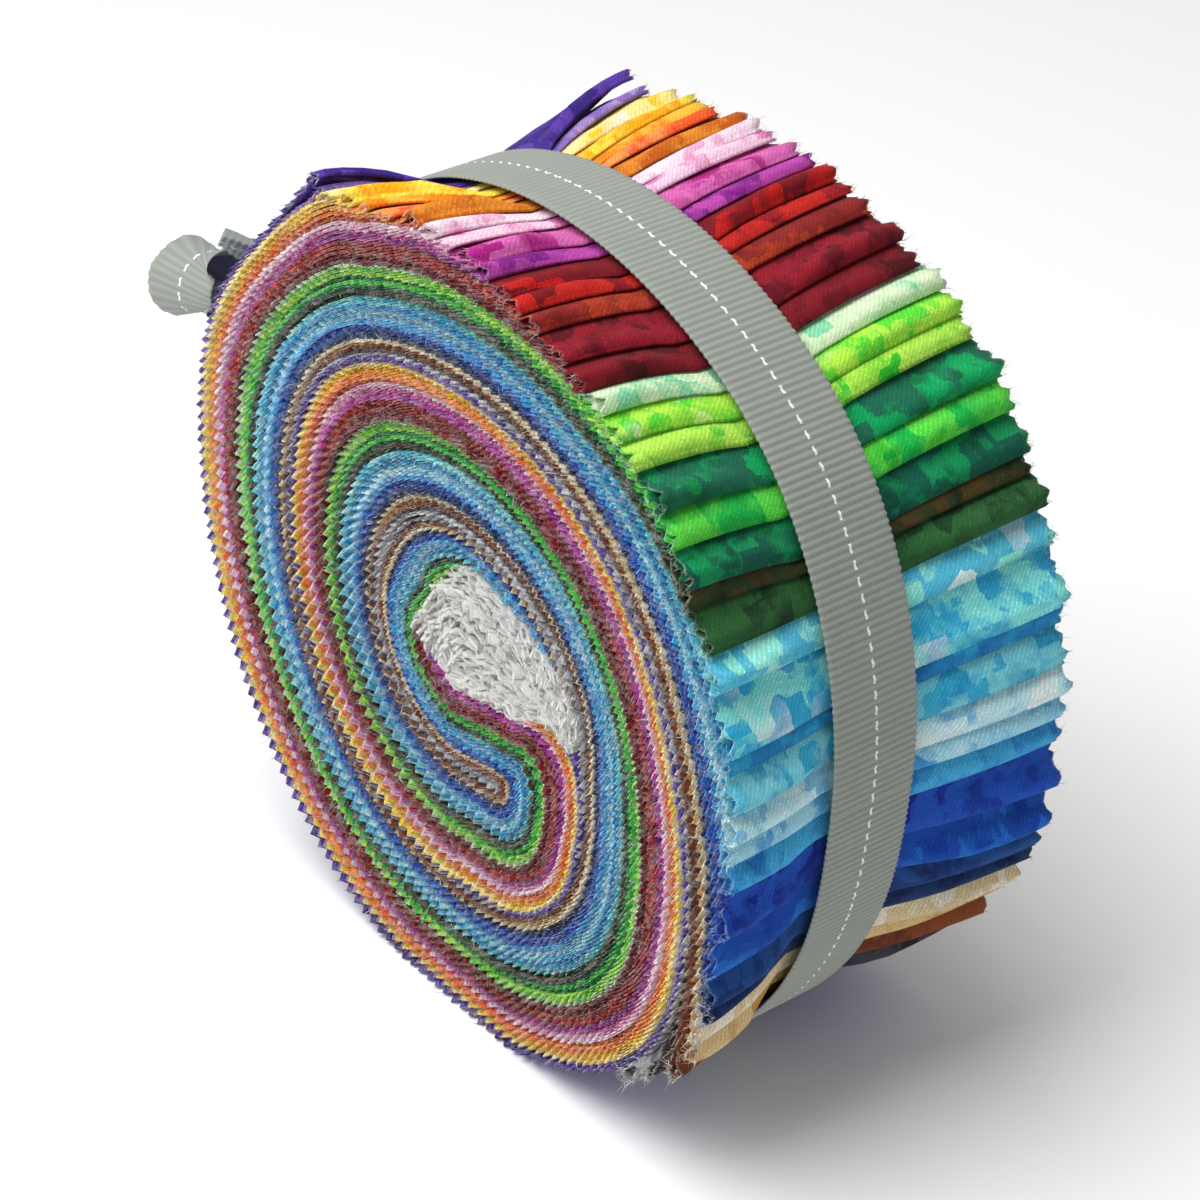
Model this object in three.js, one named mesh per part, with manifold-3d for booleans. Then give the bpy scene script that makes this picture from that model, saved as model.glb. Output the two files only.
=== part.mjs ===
// A roll of fabric strips: forty strips of printed cotton, folded double and stacked in colour order,
// wound up together and tied with a grosgrain ribbon in a bow. The roll stands on its rim.
// Millimetres, +Z up. The roll's axis runs along Y, its near face towards -Y shows the swirl of cut
// edges, and the origin is on the surface that it stands on, below the middle of the whole part.
// Angles are degrees counter-clockwise from +X, seen from the near face.
import * as THREE from "three";
import Module from "manifold-3d";
import { mergeVertices } from "three/addons/utils/BufferGeometryUtils.js";

const wasm = await Module();
wasm.setup();

// Driving sizes
const STRIP_WIDTH = 63.5;
const AXIS_HEIGHT = 72.5;
const AXIS_X = 5.6;
const HALF_WIDTH = STRIP_WIDTH / 2;
const GAP = 0.3;

// The fan of fold ends on the rim
const PUFF = 0.7;
const CREASE = 1.0;
const EDGE_WANDER = 0.7;
const FRAYED_EDGE = 4;
const PLAIN_RIM_STEP = 6;

// The ribbon
const RIBBON_WIDTH = 15.9;
const RIBBON_THICKNESS = 1.0;
const RIBBON_SIDE_ROOM = 0.7;
const RIBBON_MIDDLE = -5;
const RIBBON_BOW = 1.6;
const RIBBON_BOW_AT = 42;
const RIBBON_BOW_SPREAD = 35;
const RIBBON_STEPS = 72;
const RIBBON_FLOOR_ROOM = 0.3;
const BAND_GAP = 0.45;

// The swirl cut into both faces
const SWIRL_DEPTH = 1.8;
const SWIRL_WIDTH = 1.6;
const CORE_DEPTH = 1.2;

// The roll's rim: radius at the near edge, under the ribbon and at the far edge
const RIM = [
  { angle: -70, near: 73.5, waist: 72.0, far: 73.5 },
  { angle: -53, near: 75.0, waist: 72.5, far: 75.0 },
  { angle: -36, near: 76.0, waist: 71.3, far: 77.2 },
  { angle: -20, near: 70.5, waist: 70.2, far: 77.6 },
  { angle: -5, near: 69.8, waist: 69.5, far: 75.2 },
  { angle: 10, near: 71.2, waist: 70.6, far: 76.0 },
  { angle: 30, near: 72.2, waist: 72.3, far: 76.6 },
  { angle: 45, near: 74.0, waist: 73.2, far: 77.0 },
  { angle: 65, near: 73.0, waist: 72.7, far: 74.8 },
  { angle: 85, near: 73.0, waist: 72.0, far: 72.8 },
  { angle: 100, near: 74.5, waist: 71.4, far: 74.0 },
  { angle: 113, near: 76.0, waist: 71.0, far: 75.5 },
  { angle: 122, near: 74.5, waist: 70.5, far: 75.5 },
  { angle: 134, near: 73.2, waist: 70.6, far: 73.4 },
  { angle: 158, near: 75.0, waist: 72.2, far: 75.2 },
  { angle: 180, near: 74.5, waist: 72.8, far: 74.5 },
  { angle: 217, near: 76.0, waist: 73.2, far: 75.5 },
  { angle: 247, near: 75.8, waist: 72.8, far: 75.4 },
  { angle: 260, near: 73.8, waist: 72.0, far: 73.8 },
  { angle: 278, near: 74.0, waist: 72.0, far: 74.0 },
];

// Colour families from the outside of the stack to its inside. The fold ends of a family's strips
// fill the rim from the last family's limit down to its own.
const FAMILIES = [
  { colour: "purple", strips: 3, until: 102 },
  { colour: "orange", strips: 5, until: 90 },
  { colour: "pink", strips: 4, until: 78 },
  { colour: "red", strips: 5, until: 59 },
  { colour: "green", strips: 7, until: 28 },
  { colour: "aqua", strips: 6, until: -1 },
  { colour: "blue", strips: 4, until: -22.5 },
  { colour: "neutral", strips: 6, until: -50 },
];
const FAN_START = 108;

// The outer strip as the winding carries it inwards, turn upon turn
const SWIRL = [
  { angle: 318, radius: 70.6 },
  { angle: 342, radius: 63.4 },
  { angle: 365, radius: 58.6 },
  { angle: 400, radius: 56.0 },
  { angle: 427, radius: 52.2 },
  { angle: 450, radius: 49.6 },
  { angle: 495, radius: 48.6 },
  { angle: 540, radius: 46.2 },
  { angle: 585, radius: 47.2 },
  { angle: 645, radius: 46.0 },
  { angle: 673, radius: 42.4 },
  { angle: 700, radius: 37.0 },
  { angle: 718, radius: 33.6 },
];

// Where the inner end of the stack is folded back beside itself, from the hook's tip outwards
const FOLD_BACK = [
  { x: 13, z: -19 },
  { x: 0, z: -21.5 },
  { x: -13, z: -17 },
  { x: -20.5, z: -3 },
  { x: -16, z: 13 },
  { x: -3, z: 22.5 },
  { x: 13, z: 24 },
  { x: 27, z: 17 },
  { x: 33, z: 8 },
];

// The crumpled white heart, where the strips' unprinted ends meet
const CORE = [
  { x: -4, z: -3 },
  { x: -5, z: 4 },
  { x: 1, z: 13 },
  { x: 12, z: 19 },
  { x: 24, z: 17 },
  { x: 31, z: 9 },
  { x: 34, z: -2 },
  { x: 27, z: 1 },
  { x: 18, z: 3.5 },
  { x: 6, z: -1 },
];

// The bow. Each row is a place along the ribbon's middle line, measured from the roll's axis; slope
// is the angle of the ribbon's width above +X, and share is how far it is spread out flat.
const KNOT = { angle: 149, out: 3.1, along: 12, across: 10, high: 3.3 };
const NEAR_LOOP = [
  { x: -67.2, y: -11.1, z: 40.4, slope: 59, share: 0.6 },
  { x: -68.2, y: -13.2, z: 40.6, slope: 56, share: 0.65 },
  { x: -72.2, y: -16.2, z: 41.2, slope: 42, share: 0.85 },
  { x: -76.4, y: -21.8, z: 41.0, slope: 20, share: 1 },
  { x: -78.4, y: -27.2, z: 38.6, slope: 15, share: 1 },
  { x: -78.2, y: -31.0, z: 34.6, slope: 14, share: 1 },
  { x: -77.6, y: -31.4, z: 29.6, slope: 14, share: 1 },
  { x: -76.8, y: -28.2, z: 27.0, slope: 18, share: 1 },
  { x: -75.0, y: -22.6, z: 30.6, slope: 34, share: 0.9 },
  { x: -70.6, y: -17.4, z: 34.6, slope: 48, share: 0.75 },
  { x: -66.4, y: -13.2, z: 37.6, slope: 56, share: 0.65 },
  { x: -65.4, y: -11.1, z: 38.2, slope: 59, share: 0.6 },
];
const FAR_LOOP = [
  { x: -67.2, y: 0.5, z: 40.4, slope: 59, share: 0.6 },
  { x: -68.4, y: 2.6, z: 40.4, slope: 59, share: 0.65 },
  { x: -72.2, y: 7.0, z: 35.8, slope: 64, share: 0.8 },
  { x: -76.9, y: 12.5, z: 30.3, slope: 68, share: 0.95 },
  { x: -79.9, y: 17.5, z: 26.0, slope: 72, share: 1 },
  { x: -79.8, y: 20.8, z: 23.6, slope: 74, share: 1 },
  { x: -77.2, y: 19.8, z: 23.2, slope: 73, share: 1 },
  { x: -74.6, y: 14.5, z: 25.7, slope: 71, share: 0.9 },
  { x: -70.4, y: 8.5, z: 31.6, slope: 66, share: 0.75 },
  { x: -65.6, y: 2.6, z: 38.4, slope: 59, share: 0.65 },
  { x: -65.4, y: 0.5, z: 38.4, slope: 59, share: 0.6 },
];
const NEAR_TAIL = [
  { x: -61.4, y: -9.0, z: 47.0, slope: 59, share: 0.35 },
  { x: -62.6, y: -16.2, z: 46.8, slope: 57, share: 0.55 },
  { x: -64.2, y: -22.2, z: 46.2, slope: 55, share: 0.66 },
  { x: -66.4, y: -28.2, z: 45.2, slope: 52, share: 0.7 },
];
const FAR_TAIL = [
  { x: -72.6, y: 1.4, z: 27.1, slope: 70, share: 0.35 },
  { x: -77.8, y: 8.0, z: 13.7, slope: 80, share: 0.55 },
  { x: -79.8, y: 16.0, z: 0.0, slope: 90, share: 0.75 },
  { x: -79.8, y: 25.5, z: -8.4, slope: 96, share: 0.85 },
];
const LOOP_STEPS = 26;
const TAIL_STEPS = 9;

// The outermost strip's free end, lifted off the roll on each side of the ribbon
const LOOSE_ENDS = [
  { name: "loose_end_far", from: 5.4, to: 31.2, tip: 118, root: 143, lift: 3.2 },
  { name: "loose_end_near", from: -15.2, to: -31.2, tip: 113, root: 136, lift: 1.6 },
];
const LOOSE_END_THICKNESS = 1.3;
const LOOSE_END_STEPS = { around: 8, across: 5 };

// Colours and finishes
const cloth = (colour) =>
  new THREE.MeshStandardMaterial({ color: colour, roughness: 0.92, metalness: 0 });
const MIXED_COTTON = cloth(0x6f8f9a);
const PURPLE_COTTON = cloth(0x46308a);
const GREY_RIBBON = cloth(0x8f958d);

const radians = (degrees) => (degrees * Math.PI) / 180;
const mix = (a, b, t) => a + (b - a) * t;
const smooth = (t) => t * t * (3 - 2 * t);

// A point at an angle and radius from the axis, at a depth along it
function polar(angle, radius, y) {
  const a = radians(angle);
  return new THREE.Vector3(radius * Math.cos(a), y, AXIS_HEIGHT + radius * Math.sin(a));
}

// A column of a table of angles, read between its rows
function readTable(rows, angle, column) {
  let row = rows.length - 1;
  while (row > 0 && rows[row].angle > angle) row -= 1;
  const next = rows[(row + 1) % rows.length];
  const span = (next.angle - rows[row].angle + 360) % 360;
  const t = (angle - rows[row].angle) / span;
  return mix(rows[row][column], next[column], smooth(Math.min(Math.max(t, 0), 1)));
}

// An angle brought into the turn that starts at a given one
const inTurnFrom = (start, angle) => start + ((((angle - start) % 360) + 360) % 360);
const rimRadius = (angle, column) => readTable(RIM, inTurnFrom(RIM[0].angle, angle), column);

// The ribbon's middle wanders towards the middle of the rim where the folds are fullest
function ribbonMiddle(angle) {
  const turned = inTurnFrom(-180, angle - RIBBON_BOW_AT);
  return RIBBON_MIDDLE + RIBBON_BOW * Math.exp(-((turned / RIBBON_BOW_SPREAD) ** 2));
}

// A closed mesh from points and triangles, turned to face out
function meshOf(name, points, triangles, material) {
  const volume = triangles.reduce(
    (sum, [a, b, c]) => sum + points[a].dot(points[b].clone().cross(points[c])),
    0,
  );
  const outward = volume < 0 ? triangles.map(([a, b, c]) => [a, c, b]) : triangles;
  const geometry = new THREE.BufferGeometry();
  geometry.setAttribute(
    "position",
    new THREE.Float32BufferAttribute(points.flatMap((p) => [p.x, p.y, p.z]), 3),
  );
  geometry.setIndex(outward.flat());
  const mesh = new THREE.Mesh(geometry, material);
  mesh.name = name;
  return mesh;
}

// Rings of equal count joined one to the next. An open run is capped at its two ends by a fan from
// the middle of each end ring, and a closed run joins its last ring to its first.
function loft(name, rings, material, closed = false) {
  const count = rings[0].length;
  const points = rings.flat();
  const triangles = [];
  const runs = closed ? rings.length : rings.length - 1;
  for (let r = 0; r < runs; r += 1) {
    const here = r * count;
    const there = ((r + 1) % rings.length) * count;
    for (let i = 0; i < count; i += 1) {
      const j = (i + 1) % count;
      triangles.push([here + i, here + j, there + j], [here + i, there + j, there + i]);
    }
  }
  if (!closed) {
    for (const end of [0, rings.length - 1]) {
      const middle = rings[end]
        .reduce((sum, p) => sum.add(p), new THREE.Vector3())
        .divideScalar(count);
      const centre = points.push(middle) - 1;
      for (let i = 0; i < count; i += 1) {
        const a = end * count + i;
        const b = end * count + ((i + 1) % count);
        triangles.push(end === 0 ? [centre, b, a] : [centre, a, b]);
      }
    }
  }
  return meshOf(name, points, triangles, material);
}

function toSolid(mesh) {
  const bare = mesh.geometry.clone();
  bare.deleteAttribute("normal");
  bare.deleteAttribute("uv");
  const merged = mergeVertices(bare, 1e-4);
  return new wasm.Manifold(
    new wasm.Mesh({
      numProp: 3,
      vertProperties: new Float32Array(merged.attributes.position.array),
      triVerts: new Uint32Array(merged.index.array),
    }),
  );
}

function toMesh(name, solid, material) {
  const made = solid.getMesh();
  const geometry = new THREE.BufferGeometry();
  geometry.setAttribute("position", new THREE.BufferAttribute(made.vertProperties, 3));
  geometry.setIndex(new THREE.BufferAttribute(made.triVerts, 1));
  const mesh = new THREE.Mesh(geometry, material);
  mesh.name = name;
  return mesh;
}

// Stations round the rim. Each strip's fold end gives a crease, a rise, a crown and a fold edge;
// the rest of the rim is the smooth back of the outermost strip.
const FOLD_PROFILE = [
  { part: 0.0, rise: -CREASE },
  { part: 0.22, rise: 0.35 * PUFF },
  { part: 0.6, rise: PUFF },
  { part: 0.9, rise: 0.5 * PUFF },
];
function rimStations() {
  const stations = [];
  let from = FAN_START;
  let fold = 0;
  for (const family of FAMILIES) {
    const step = (from - family.until) / family.strips;
    for (let s = 0; s < family.strips; s += 1) {
      for (const { part, rise } of FOLD_PROFILE) {
        stations.push({ angle: from - step * (s + part), rise, fold });
      }
      fold += 1;
    }
    from = family.until;
  }
  const rest = 360 - (FAN_START - from);
  const plainSteps = Math.round(rest / PLAIN_RIM_STEP);
  for (let i = 0; i < plainSteps; i += 1) {
    stations.push({ angle: from - (rest * i) / plainSteps, rise: 0, fold: 0 });
  }
  return stations;
}

// The wound roll without its swirl: the rim lofted from the near face to the far one
function woundForm() {
  const stations = rimStations();
  const side = RIBBON_WIDTH / 2 + RIBBON_SIDE_ROOM;
  const lines = [
    { depth: () => -HALF_WIDTH, flare: 1, edge: "near", puff: 0, floor: 0, inset: FRAYED_EDGE },
    { depth: () => -HALF_WIDTH, flare: 1, edge: "near", puff: 0.7, floor: 0 },
    { depth: () => -HALF_WIDTH + 7, flare: 0.75, edge: "near", puff: 1, floor: 0 },
    { depth: (a) => ribbonMiddle(a) - side, flare: 0, edge: "near", puff: 0, floor: 1 },
    { depth: (a) => ribbonMiddle(a) + side, flare: 0, edge: "far", puff: 0, floor: 1 },
    { depth: () => HALF_WIDTH - 15, flare: 0.6, edge: "far", puff: 1, floor: 0 },
    { depth: () => HALF_WIDTH, flare: 1, edge: "far", puff: 0.7, floor: 0 },
    { depth: () => HALF_WIDTH, flare: 1, edge: "far", puff: 0, floor: 0, inset: FRAYED_EDGE },
  ];
  const waistFloor = RIBBON_FLOOR_ROOM + RIBBON_THICKNESS + GAP;
  const rings = lines.map(({ depth, flare, edge, puff, floor, inset = 0 }) =>
    stations.map(({ angle, rise, fold }) => {
      const ragged = flare === 1 && inset === 0 && fold > 0;
      const wander = ragged ? EDGE_WANDER * Math.sin(2.4 * fold) : 0;
      const edgeRadius = rimRadius(angle, edge) + wander - inset;
      const radius = mix(rimRadius(angle, "waist"), edgeRadius, flare) + puff * rise;
      const wide = ragged ? 0.6 * EDGE_WANDER * Math.cos(1.7 * fold) : 0;
      const point = polar(angle, radius, depth(angle) + Math.sign(depth(angle)) * wide);
      point.z = Math.max(point.z, floor * waistFloor);
      return point;
    }),
  );
  return loft("wound_form", rings, MIXED_COTTON);
}

// A cut that follows a line on one face, down to the swirl's depth
function grooveAlong(line, face, depth) {
  const rings = line.map((point, i) => {
    const ahead = line[Math.min(i + 1, line.length - 1)];
    const behind = line[Math.max(i - 1, 0)];
    const across = new THREE.Vector3(ahead.z - behind.z, 0, behind.x - ahead.x)
      .normalize()
      .multiplyScalar(SWIRL_WIDTH / 2);
    const outside = face * (HALF_WIDTH + 2);
    const inside = face * (HALF_WIDTH - depth);
    return [
      new THREE.Vector3(point.x + across.x, outside, point.z + across.z),
      new THREE.Vector3(point.x - across.x, outside, point.z - across.z),
      new THREE.Vector3(point.x, inside, point.z),
    ];
  });
  return toSolid(loft("groove", rings, MIXED_COTTON));
}

// A hollow of a closed outline on one face
function hollowOf(outline, face, depth) {
  const rings = [face * (HALF_WIDTH + 2), face * (HALF_WIDTH - depth)].map((y) =>
    outline.map((point) => new THREE.Vector3(point.x, y, point.z)),
  );
  const shape = outline.map((point) => new THREE.Vector2(point.x, point.z));
  const faces = THREE.ShapeUtils.triangulateShape(shape, []);
  const count = outline.length;
  const triangles = [];
  for (let i = 0; i < count; i += 1) {
    const j = (i + 1) % count;
    triangles.push([i, j, count + j], [i, count + j, count + i]);
  }
  const turned = THREE.ShapeUtils.isClockWise(shape);
  for (const [a, b, c] of faces) {
    const [p, q] = turned ? [b, c] : [c, b];
    triangles.push([a, p, q], [count + a, count + q, count + p]);
  }
  return toSolid(meshOf("hollow", rings.flat(), triangles, MIXED_COTTON));
}

const onFace = ({ x, z }) => new THREE.Vector3(x, 0, AXIS_HEIGHT + z);

function throughPoints(rows, steps, closed = false) {
  const curve = new THREE.CatmullRomCurve3(rows.map(onFace), closed, "centripetal");
  const points = curve.getPoints(steps);
  return closed ? points.slice(0, -1) : points;
}

function roll() {
  let solid = toSolid(woundForm());
  const first = SWIRL[0].angle;
  const last = SWIRL[SWIRL.length - 1].angle;
  const swirlSteps = Math.round((last - first) / PLAIN_RIM_STEP);
  const swirl = [];
  for (let i = 0; i <= swirlSteps; i += 1) {
    const angle = mix(first, last, i / swirlSteps);
    swirl.push(polar(angle, readTable(SWIRL, angle, "radius"), 0));
  }
  const foldBack = throughPoints(FOLD_BACK, 3 * FOLD_BACK.length);
  const core = throughPoints(CORE, 3 * CORE.length, true);
  for (const face of [-1, 1]) {
    solid = solid.subtract(grooveAlong(swirl, face, SWIRL_DEPTH));
    solid = solid.subtract(grooveAlong(foldBack, face, SWIRL_DEPTH));
    solid = solid.subtract(hollowOf(core, face, CORE_DEPTH));
  }
  return toMesh("roll", solid, MIXED_COTTON);
}

// The ribbon's band, drawn tight round the roll's waist
function ribbonBand() {
  const rings = [];
  for (let i = 0; i < RIBBON_STEPS; i += 1) {
    const angle = (360 * i) / RIBBON_STEPS;
    const middle = ribbonMiddle(angle);
    const inner = rimRadius(angle, "waist") + BAND_GAP;
    const corner = (radius, side, floor) => {
      const point = polar(angle, radius, middle + (side * RIBBON_WIDTH) / 2);
      point.z = Math.max(point.z, floor);
      return point;
    };
    const under = RIBBON_FLOOR_ROOM;
    rings.push([
      corner(inner, -1, under + RIBBON_THICKNESS),
      corner(inner, 1, under + RIBBON_THICKNESS),
      corner(inner + RIBBON_THICKNESS, 1, under),
      corner(inner + RIBBON_THICKNESS, -1, under),
    ]);
  }
  return loft("ribbon_band", rings, GREY_RIBBON, true);
}

// A length of ribbon along a table of rows
function ribbonLength(name, rows, steps) {
  const middle = new THREE.CatmullRomCurve3(
    rows.map(({ x, y, z }) => new THREE.Vector3(x, y, AXIS_HEIGHT + z)),
    false,
    "centripetal",
  );
  const rings = [];
  for (let i = 0; i <= steps; i += 1) {
    const t = i / steps;
    const place = t * (rows.length - 1);
    const row = Math.min(Math.floor(place), rows.length - 2);
    const slope = radians(mix(rows[row].slope, rows[row + 1].slope, place - row));
    const along = middle.getTangent(t);
    const wide = new THREE.Vector3(Math.cos(slope), 0, Math.sin(slope));
    wide.addScaledVector(along, -wide.dot(along)).normalize();
    const thick = new THREE.Vector3().crossVectors(along, wide).multiplyScalar(RIBBON_THICKNESS / 2);
    const share = mix(rows[row].share, rows[row + 1].share, place - row);
    wide.multiplyScalar((share * RIBBON_WIDTH) / 2);
    const point = middle.getPoint(t);
    rings.push([
      point.clone().add(wide).add(thick),
      point.clone().sub(wide).add(thick),
      point.clone().sub(wide).sub(thick),
      point.clone().add(wide).sub(thick),
    ]);
  }
  return loft(name, rings, GREY_RIBBON);
}

// The knot: a soft lump, flat on the band below it
function ribbonKnot() {
  const { angle, out, along, across, high } = KNOT;
  const seat = rimRadius(angle, "waist") + BAND_GAP + RIBBON_THICKNESS + BAND_GAP;
  const geometry = new THREE.SphereGeometry(1, 16, 10);
  const position = geometry.getAttribute("position");
  for (let i = 0; i < position.count; i += 1) {
    const p = new THREE.Vector3().fromBufferAttribute(position, i);
    const squared = Math.max(Math.abs(p.x), Math.abs(p.y), Math.abs(p.z));
    p.multiplyScalar(mix(1, 1 / squared, 0.35));
    const radial = Math.max(p.z * high + out, 0);
    const tangent = (p.x * along) / 2;
    const at = polar(angle, seat + radial, ribbonMiddle(angle) + (p.y * across) / 2);
    const a = radians(angle);
    at.x -= tangent * Math.sin(a);
    at.z += tangent * Math.cos(a);
    position.setXYZ(i, at.x, at.y, at.z);
  }
  geometry.deleteAttribute("normal");
  geometry.deleteAttribute("uv");
  const merged = mergeVertices(geometry, 1e-4);
  const points = [];
  for (let i = 0; i < merged.attributes.position.count; i += 1) {
    points.push(new THREE.Vector3().fromBufferAttribute(merged.attributes.position, i));
  }
  const triangles = [];
  const index = merged.index.array;
  for (let i = 0; i < index.length; i += 3) {
    const [a, b, c] = [index[i], index[i + 1], index[i + 2]];
    if (a !== b && b !== c && c !== a) triangles.push([a, b, c]);
  }
  return meshOf("ribbon_knot", points, triangles, GREY_RIBBON);
}

// One side of the outermost strip's free end: a folded double sheet that leaves the roll's back
function looseEnd({ name, from, to, tip, root, lift }) {
  const { around, across } = LOOSE_END_STEPS;
  const edge = to < 0 ? "near" : "far";
  const rings = [];
  for (let j = 0; j <= across; j += 1) {
    const t = j / across;
    const y = mix(from, to, t);
    const tipHere = mix(FAN_START, tip, t);
    const outside = [];
    const inside = [];
    for (let i = 0; i <= around; i += 1) {
      const s = i / around;
      const angle = mix(root, tipHere, s);
      const roof = Math.max(rimRadius(angle, edge), rimRadius(angle, "waist"));
      const base = roof + 2 * GAP + lift * t * smooth(s);
      inside.push(polar(angle, base, y));
      outside.unshift(polar(angle, base + LOOSE_END_THICKNESS, y));
    }
    rings.push([...inside, ...outside]);
  }
  return loft(name, rings, PURPLE_COTTON);
}

const jellyRoll = new THREE.Group();
jellyRoll.position.x = AXIS_X;
jellyRoll.add(roll());
jellyRoll.add(ribbonBand());
jellyRoll.add(ribbonKnot());
jellyRoll.add(ribbonLength("bow_loop_near", NEAR_LOOP, LOOP_STEPS));
jellyRoll.add(ribbonLength("bow_loop_far", FAR_LOOP, LOOP_STEPS));
jellyRoll.add(ribbonLength("bow_tail_near", NEAR_TAIL, TAIL_STEPS));
jellyRoll.add(ribbonLength("bow_tail_far", FAR_TAIL, TAIL_STEPS));
for (const end of LOOSE_ENDS) jellyRoll.add(looseEnd(end));

export default jellyRoll;
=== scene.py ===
"""A roll of folded fabric strips, wound up in colour order and tied with a grosgrain ribbon.

Forty strips of pinked, printed cotton are each built as one real folded sheet that follows its own
turn of the winding. Sizes in the tables are millimetres from the roll's axis, seen from its near
face: X to the right, Z up and Y along the axis. Blender's own units are metres.
"""
import math
import random

import bpy
import numpy as np
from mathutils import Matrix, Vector


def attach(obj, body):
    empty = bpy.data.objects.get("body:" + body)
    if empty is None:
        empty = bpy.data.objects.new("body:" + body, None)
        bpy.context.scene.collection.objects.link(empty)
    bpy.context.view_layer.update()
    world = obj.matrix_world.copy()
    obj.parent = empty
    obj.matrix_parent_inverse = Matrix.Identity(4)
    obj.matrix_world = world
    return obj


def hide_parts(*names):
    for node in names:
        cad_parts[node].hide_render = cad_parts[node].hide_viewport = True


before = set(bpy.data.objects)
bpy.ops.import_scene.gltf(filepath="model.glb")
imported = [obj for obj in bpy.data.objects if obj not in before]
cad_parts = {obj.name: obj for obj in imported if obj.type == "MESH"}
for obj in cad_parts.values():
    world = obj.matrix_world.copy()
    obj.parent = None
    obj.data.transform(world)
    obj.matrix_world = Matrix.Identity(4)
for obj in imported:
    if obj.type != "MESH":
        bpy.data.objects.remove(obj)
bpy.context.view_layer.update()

bl_info = {
    "name": "Fabric strip roll",
    "version": (1, 0, 0),
    "blender": (4, 5, 0),
    "location": "3D View > Sidebar > Fabric Roll",
    "description": "Builds a roll of folded fabric strips tied with a ribbon",
    "category": "Object",
}

# A millimetre in metres, the roll's axis above the floor and beside the frame's origin, the seed of
# the random draws, and the rim's usual radius
MM = 0.001
AXIS_HEIGHT = 72.5
AXIS_X = 5.6
SEED = 40
MEAN_RIM = 74.0


def table(names, rows):
    """Table rows, each with the names of its columns."""
    return [dict(zip(names.split(), row)) for row in rows]


def column(rows, name):
    return [row[name] for row in rows]


# The ribbon round the roll's waist: its place along the axis, where and how far it bends to one side
# there, and how far it stands off the roll and the floor
RIBBON_MIDDLE = -5.0
RIBBON_BOW = 1.6
RIBBON_BOW_AT = 42.0
RIBBON_BOW_SPREAD = 35.0
BAND_GAP = 0.45
BAND_RADIUS = 73.4
BAND_MIDDLE = 0.42
BAND_LOWEST = 0.95

# The roll's rim: radius at the near edge, under the ribbon and at the far edge, for an angle in
# degrees counter-clockwise from +X
RIM = table("angle near waist far", [
    (-70, 73.5, 72.0, 73.5),
    (-53, 75.0, 72.5, 75.0),
    (-36, 76.0, 71.3, 77.2),
    (-20, 70.5, 70.2, 77.6),
    (-5, 69.8, 69.5, 75.2),
    (10, 71.2, 70.6, 76.0),
    (30, 72.2, 72.3, 76.6),
    (45, 74.0, 73.2, 77.0),
    (65, 73.0, 72.7, 74.8),
    (85, 73.0, 72.0, 72.8),
    (100, 74.5, 71.4, 74.0),
    (113, 76.0, 71.0, 75.5),
    (122, 74.5, 70.5, 75.5),
    (134, 73.2, 70.6, 73.4),
    (158, 75.0, 72.2, 75.2),
    (180, 74.5, 72.8, 74.5),
    (217, 76.0, 73.2, 75.5),
    (247, 75.8, 72.8, 75.4),
    (260, 73.8, 72.0, 73.8),
    (278, 74.0, 72.0, 74.0),
])
EDGES = ("near", "waist", "far")

# What stays free between each edge's lowest point and the floor
FLOOR_ROOM = {"near": 0.15, "waist": 1.75, "far": 0.15}

# The outermost strip as the winding carries it inwards
SWIRL = table("angle radius", [
    (285, 72.6), (303, 72.2), (318, 70.2), (342, 63.4), (365, 58.6),
    (400, 56.0), (427, 52.2), (450, 49.6), (495, 48.6), (540, 46.2),
    (585, 47.2), (645, 46.0), (673, 42.4), (700, 37.0), (725, 33.4),
])

# The line along which the stack's inner end lies folded back beside itself
FOLD_BACK = table("angle radius", [
    (356, 35.2), (374, 34.4), (392, 31.9), (421, 27.3),
    (450, 24.4), (475, 22.3), (501, 20.8), (548, 20.8),
    (593, 21.4), (630, 21.6), (644, 21.5), (662, 22.6),
])

# The hook where the stack turns back: rays from a pivot, with the length of the ray that reaches
# the outermost strip
HOOK = {"x": 12.0, "z": -19.8, "from": 640.0, "to": 820.0, "core": 0.5}
HOOK_REACH = table("ray reach", [
    (-90, 24.9), (-63, 22.3), (-34, 21.4), (-1, 21.8), (22, 25.0),
    (37, 27.4), (52, 27.6), (70, 24.6), (90, 23.4),
])

# The return run after the hook: the sweep, the point on the stack's outer side, and the angle at
# which its inner side lies on the fold-back line
RETURN = table("sweep x z back", [
    (820, 12.0, 3.6, 662),
    (830, 5.0, 2.4, 644),
    (870, 4.6, 2.6, 593),
    (910, 4.4, 3.0, 548),
    (950, 4.6, 3.4, 501),
    (1000, 7.0, 3.8, 450),
    (1030, 14.0, 3.2, 421),
    (1065, 23.0, 1.2, 392),
    (1095, 30.5, -2.6, 374),
    (1112, 33.0, -5.0, 362),
])
SWEEP_START = -58.0
SWEEP_END = 1110.0

# Where along the sweep the stack is still the roll's outside, where its own next turn covers it,
# and where it runs straight down into the hook
FAN = {"from": 95, "over": 25, "depth": 0.4}
LEAVING_RIM = {"from": 278, "over": 22}
FLARE_END = 320
LAST_OUTER_TURN = {"from": 350, "over": 14}
RUN_DOWN = {"from": 630, "over": 10, "outer": -46.0, "inner": -21.6, "across": 12.0, "rise": 1.3}
UNDER_RIBBON = 0.15
TURN_GAP = 0.35
FOLD_BACK_GAP = 0.45

# How much room the crumpled white ends take, against flat cloth
CRUMPLE = table("sweep room", [
    (770, 1.5), (830, 2.6), (880, 2.6), (915, 1.7), (950, 1.1),
    (1000, 2.8), (1030, 3.0), (1065, 1.7), (1110, 1.2),
])

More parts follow.
